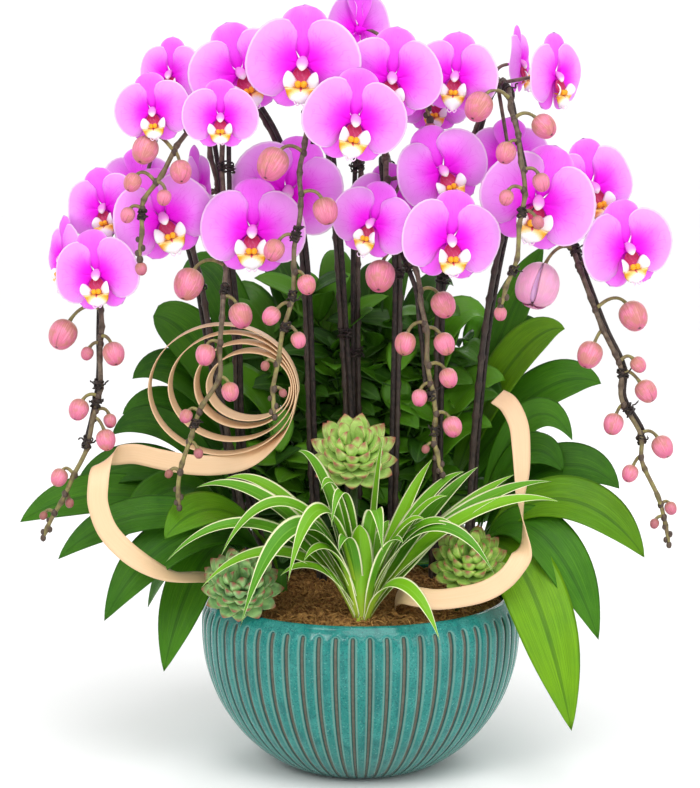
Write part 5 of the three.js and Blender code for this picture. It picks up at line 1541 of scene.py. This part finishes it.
grass = {
    "crown": (1, -112),
    "crownRadius": 9 * mm,
    "crownTop": 187 * mm,
    "rootHeight": 170,
    "rootStep": 3,
    "thickness": 0.9 * mm,
    "wider": 1.12,
    "leaf": {"rows": 34, "cols": 11, "widest": 0.80, "fullness": 0.78, "point": 0.26,
             "channel": 0.34, "facing": 36.0, "neck": 0.52},
    "blades": named(("tip", "rise", "width"), [
        ((-187, -170, 244), 90, 15), ((-159, -140, 311), 64, 19), ((-134, -100, 312), 60, 17),
        ((-154, -160, 217), 66, 14), ((-135, -165, 248), 108, 15), ((-115, -190, 186), 132, 21),
        ((-70, -186, 228), 122, 18), ((-61, -125, 344), 56, 22), ((-39, -150, 310), 74, 15),
        ((-29, -165, 277), 98, 12), ((21, -118, 358), 24, 18), ((20, -182, 255), 100, 15),
        ((70, -90, 331), 24, 16), ((100, -118, 323), 40, 18), ((115, -95, 324), 22, 18),
        ((83, -140, 303), 44, 14), ((150, -100, 317), 26, 19), ((185, -112, 312), 46, 18),
        ((192, -128, 295), 54, 18), ((126, -172, 234), 86, 17), ((74, -192, 174), 62, 16),
        ((-2, -150, 277), 24, 23), ((-91, -150, 249), 70, 14), ((-78, -150, 227), 36, 12),
        ((61, -150, 282), 40, 15), ((40, -165, 262), 44, 15), ((-37, -100, 282), 44, 16),
        ((95, -150, 269), 60, 14), ((-22, -170, 254), 56, 14), ((-56, -160, 242), 50, 13),
        ((28, -80, 267), 30, 15),
    ]),
    "seed": 21,
}


def grassSurface(spec):
    rng = np.random.default_rng(spec["seed"])
    crown = np.array(spec["crown"]) * mm
    parts = [postSurface(crown, spec["crownTop"], spec["crownRadius"])]
    for k, leaf in enumerate(spec["blades"]):
        height = (spec["rootHeight"] + spec["rootStep"] * (k % 5)) * mm
        root = fanRoot(crown, leaf, spec["crownRadius"] * 0.75, height)
        parts.append(listedBlade(root, leaf, spec["thickness"], rng, spec["leaf"], spec["wider"]))
    return joined(parts)


def grassMaterial():
    # green down the middle of a blade, with cream margins and fine lines between them
    material, tree, spot, uv = newMaterial("stripedBlade", 0.42, Specular_IOR_Level=0.22)
    across = addNode(tree, "SeparateXYZ", n0=uv).outputs[1]
    streak = veined(tree, uv, 16.0, 1.5, 0.2)[1]
    wobble = times(tree, calculate(tree, "SUBTRACT", streak, 0.5), 0.14)
    off = calculate(tree, "ABSOLUTE", calculate(tree, "SUBTRACT", across, 0.5))
    off = plus(tree, off, wobble)
    tone = mixColours(tree, streak, (0.036, 0.170, 0.005), (0.120, 0.370, 0.016))
    tone = mixColours(tree, readValue(tree, "tone"), tone, (0.190, 0.450, 0.012))
    tone = painted(tree, tone, (0.420, 0.590, 0.045), readValue(tree, "along"), 0.34, 0.02)
    tone = painted(tree, tone, (0.900, 0.930, 0.560), off, 0.385, 0.425)
    tone = painted(tree, tone, (0.260, 0.520, 0.070), off, 0.055, 0.01, 0.35)
    return finished(material, tone, streak, 0.0006, 0.4)


addPiece("grass_blades", grassSurface(grass), grassMaterial(), "grass", "striped_grass")


# the succulents: rings of thick pointed leaves

rosettes = {   # millimetres and degrees; a look is a name and the colours of body, of darker clouds that also paint shade at the leaves' bases, and of tips
    "succulent_centre": {
        "foot": (-7, -56), "head": (-7, -60, 322), "radius": 43, "tilt": 42,
        "look": ("rosetteBright", (0.620, 0.820, 0.270), (0.300, 0.530, 0.090),
                 (0.340, 0.085, 0.065))},
    "succulent_left": {
        "foot": (-98, -74), "head": (-118, -93, 198), "radius": 38, "tilt": 50,
        "look": ("rosetteGrey", (0.430, 0.680, 0.270), (0.110, 0.290, 0.110),
                 (0.300, 0.075, 0.055))},
    "succulent_right": {
        "foot": (94, -74), "head": (106, -88, 219), "radius": 38, "tilt": 40,
        "look": ("rosetteOlive", (0.490, 0.720, 0.160), (0.180, 0.360, 0.070),
                 (0.300, 0.080, 0.055))},
}
rosetteShape = {
    "rings": named(("count", "reach", "drop", "root", "turn"), [
        (12, 1.04, 0.1, 0.05, 0.0), (12, 0.92, 0.32, 0.14, 0.26), (11, 0.74, 0.5, 0.24, 0.1),
        (9, 0.54, 0.62, 0.34, 0.5), (6, 0.32, 0.68, 0.42, 0.2), (3, 0.12, 0.62, 0.48, 0.9),
    ]),
    "leaf": {"rows": 14, "cols": 9, "widest": 1.55, "fullness": 0.85},
    "stalkRadius": 4 * mm,
    "stalkBend": 190 * mm,
    "heartRadius": 2 * mm,
    "seed": 900,
}


def plumpSurface(root, tip, width, depth, spec, tone):
    # a thick spoon-shaped leaf with a short point, bent upwards, round below and hollow above
    t, v = shares(spec["rows"], spec["cols"])
    span = tip - root
    level = unit(np.cross(span, (0, 0, 1)) + 1e-9)
    face = unit(np.cross(level, span))
    half = width / 2 * (0.35 * (1 - t) + np.sin(np.pi * t ** spec["widest"]) ** spec["fullness"])
    half = half * ((t > 0) & (t < 1))
    sag = 0.10 * np.linalg.norm(span) * np.sin(np.pi * t)
    base = root + t[..., None] * span - sag[..., None] * face + (half * v)[..., None] * level
    hollow = 0.22 * half * v ** 2
    swell = depth * (1 - v ** 2)
    upper = base + (hollow + 0.25 * swell * np.sin(np.pi * t))[..., None] * face
    lower = base + (hollow - swell * np.sin(np.pi * t) ** 0.6)[..., None] * face
    return closedBlade(upper, lower, t, v * 0.5 + 0.5, tone=tone, tipShare=t, edge=np.abs(v))


def rosetteSurface(spec, shape, number):
    rng = np.random.default_rng(shape["seed"] + number)
    head = np.array(spec["head"]) * mm
    foot = np.array(spec["foot"]) * mm
    radius = spec["radius"] * mm
    line = np.array([[*foot, medium["holeFloor"]], [*foot, shape["stalkBend"]], head])
    stalk = rod(line, shape["stalkRadius"], 10, tone=0.2, stalk=1.0)
    core = np.outer([0, 0.25, 0.5], [0, 0, radius])
    heart = [rod(core, np.array([0.22, 0.22, 0.14]) * radius, 10, tone=0.4, tipShare=0.2)]
    for ring in shape["rings"]:
        for k in range(ring["count"]):
            angle = ring["turn"] + 2 * np.pi * (k + rng.uniform(-0.12, 0.12)) / ring["count"]
            out = np.array([math.cos(angle), math.sin(angle), 0])
            root = np.array([0, 0, ring["root"] * radius]) + out * shape["heartRadius"]
            reach = ring["reach"] * radius * rng.uniform(0.93, 1.03) * (1 + 0.14 * math.sin(angle))
            tip = root + out * reach + [0, 0, ring["drop"] * rng.uniform(0.85, 1.15) * radius]
            heart.append(plumpSurface(root, tip, radius * (0.26 + 0.16 * ring["reach"]),
                                      0.17 * radius, shape["leaf"], rng.uniform(0, 1)))
    tilted = joined(heart)
    tilted["points"] = tilted["points"] @ turnAbout((1, 0, 0), spec["tilt"]).T + head
    return joined([stalk, tilted])


def rosetteMaterial(name, body, deep, tip):
    material, tree, spot, uv = newMaterial(
        name, 0.42, Coat_Weight=0.1, Specular_IOR_Level=0.3, Subsurface_Weight=0.15,
        Subsurface_Radius=(0.003, 0.003, 0.002), Subsurface_Scale=1.0)
    share = readValue(tree, "tipShare")
    rim = times(tree, between(tree, readValue(tree, "edge"), 0.86, 1.0, 0.0, 0.7),
                between(tree, share, 0.3, 0.9))
    ripe = calculate(tree, "MAXIMUM", rim, between(tree, share, 0.82, 1.0))
    tone = mottled(tree, spot, 110.0, 0.7, body, deep)
    # painted shade: darker towards each leaf's base, down inside the rosette
    tone = painted(tree, tone, deep, share, 0.40, 0.1, 0.8)
    tone = mixColours(tree, ripe, tone, tip)
    tone = mixColours(tree, readValue(tree, "stalk"), tone, (0.035, 0.070, 0.012))
    return finished(material, tone, noise(tree, spot, 900.0, 2.0), 0.0003, 0.4)


for number, (name, spec) in enumerate(rosettes.items()):
    addPiece(name + "_leaves", rosetteSurface(spec, rosetteShape, number),
             rosetteMaterial(*spec["look"]), "rosette", name)
print("foliage ready")


# the curled veneer strips

coil = {
    "turns": 4,
    "right": (-62, -45, 396),
    "at": (0, 0.5, 1.5, 2.5, 3.5, 4),      # turns, with the radii and the drop there
    "radiusX": (39, 41.5, 48.5, 62.5, 73.5, 77),
    "radiusZ": (31, 33.5, 42, 54.5, 66, 68),
    "drop": (0, 0, 0, 3, 5, 5),
    "pitch": 1.6,
    "stepsPerTurn": 60,
    "innerAxis": (0.3, 1, 0.15),
    "outerAxis": (0.05, 1, 0.02),
}
# places along a strip in millimetres, each with the direction of the strip's width there
leftTail = [
    ((-71, -46, 358), (0.1, 1, 0.1)), ((-89, -48, 338), (0.1, 0.8, 0.5)),
    ((-114, -51, 323), (0.1, 0.5, 0.8)), ((-142, -55, 318), (0, 0.3, 1)),
    ((-170, -58, 319), (0, 0.15, 1)), ((-199, -62, 325), (0, 0, 1)),
    ((-223, -66, 331), (0.05, 0, 1)), ((-240, -74, 331), (0.3, 0, 0.95)),
    ((-248, -92, 331), (0.75, 0, 0.66)), ((-253, -108, 325), (0.95, 0, 0.3)),
    ((-255, -118, 311), (1, 0, 0.05)), ((-255, -122, 291), (1, 0, 0.1)),
    ((-246, -124, 266), (0.9, 0.1, 0.45)), ((-227, -122, 244), (0.65, 0.35, 0.65)),
    ((-204, -112, 226), (0.3, 0.75, 0.5)), ((-180, -92, 213), (0, 1, 0.15)),
    ((-155, -62, 206), (-0.3, 1, 0.25)), ((-136, -38, 200), (-0.5, 1, 0)),
    ((-126, -24, 184), (-0.2, 1, 0)), ((-126, -24, 148.3), (-0.2, 1, 0)),
]
rightStrip = [
    ((34, -84, 148.3), (0, 1, 0)), ((34, -84, 184), (0, 1, 0)), ((41, -104, 197), (-0.1, 0.9, 0.3)),
    ((54, -119, 199), (0, 0.6, 0.8)), ((77, -126, 198), (0, 0.25, 1)),
    ((115, -128, 205), (0, 0.1, 1)), ((138, -126, 217), (-0.35, 0, 0.94)),
    ((152, -120, 232), (-0.75, 0, 0.65)), ((159, -112, 246), (-0.4, 0.9, 0.2)),
    ((159, -104, 262), (-0.1, 1, 0.05)), ((157, -96, 279), (0.15, 1, 0)),
    ((156, -88, 294), (0.45, 0.9, 0)), ((158, -78, 315), (0.75, 0.65, 0)),
    ((158, -66, 338), (0.9, 0.4, 0)), ((156, -54, 359), (0.9, 0.3, 0.25)),
    ((147, -44, 377), (0.8, 0.2, 0.5)), ((136, -36, 384), (0.6, 0.5, 0.6)),
]
veneer = {"width": 20 * mm, "thickness": 0.9 * mm, "stepsPerSpan": 12, "cols": 7}


def coilPath(spec):
    # ellipses whose radii grow turn by turn while their right ends stay together
    turn = np.arange(spec["turns"] * spec["stepsPerTurn"] + 1) / spec["stepsPerTurn"]
    rx, rz, drop = (np.interp(turn, spec["at"], spec[key])
                    for key in ("radiusX", "radiusZ", "drop"))
    x = spec["right"][0] + spec["pitch"] * (turn - spec["turns"]) - rx + rx * np.cos(2 * np.pi * turn)
    z = spec["right"][2] - drop - rz * np.sin(2 * np.pi * turn)
    inner, outer = np.array(spec["innerAxis"], float), np.array(spec["outerAxis"], float)
    axis = inner + (outer - inner) * (turn / spec["turns"])[:, None]
    return xyz(x, spec["right"][1], z), axis


def stripPath(rows, steps):
    return [smoothPath(column, steps) for column in zip(*rows)]


def veneerSurface(at, widths, spec):
    # a flat section carried along the route: four sides, with the ends closed
    path = at * mm
    along = unit(np.gradient(path, axis=0))
    across = unit(widths - along * np.sum(widths * along, axis=1, keepdims=True))
    face = np.cross(across, along)
    v = np.linspace(-1, 1, spec["cols"])
    section = np.concatenate([
        np.stack([v, 0 * v + 1], axis=1), np.stack([-v, 0 * v - 1], axis=1), [[-1.0, 1.0]]])
    points = (path[:, None] + across[:, None] * (section[:, :1] * spec["width"] / 2)
              + face[:, None] * (section[:, 1:] * spec["thickness"] / 2))
    ends = [np.broadcast_to(path[k], points[0].shape)[None] for k in (0, -1)]
    points = np.concatenate([ends[0], points, ends[1]])
    run = np.pad(runOf(path), 1, mode="edge")
    return outward(gridSurface(points, run, section[:, 0] * 0.5 + 0.5))


def veneerMaterial():
    material, tree, spot, uv = newMaterial("woodVeneer", 0.5)
    grain = noise(tree, stretched(tree, uv, (14, 16, 1)), 1.0, 4.0, 0.6)
    fine = noise(tree, stretched(tree, uv, (40, 90, 1)), 1.0, 3.0, 0.6)
    tone = mixColours(tree, grain, (0.80, 0.52, 0.285), (0.89, 0.64, 0.40))
    tone = painted(tree, tone, (0.72, 0.50, 0.28), fine, 0.50, 0.72, 0.4)
    return finished(material, tone, fine, 0.0003, 0.5)


woodVeneer = veneerMaterial()
coilAt, coilAxis = coilPath(coil)
tailAt, tailWidth = stripPath([(coilAt[-1], coilAxis[-1])] + leftTail, veneer["stepsPerSpan"])
addPiece("veneer_left", veneerSurface(np.concatenate([coilAt[:-1], tailAt]),
                                      np.concatenate([coilAxis[:-1], tailWidth]), veneer),
         woodVeneer, "veneer", "veneer_strip_left")
addPiece("veneer_right", veneerSurface(*stripPath(rightStrip, veneer["stepsPerSpan"]), veneer),
         woodVeneer, "veneer", "veneer_strip_right")
print("veneer ready")
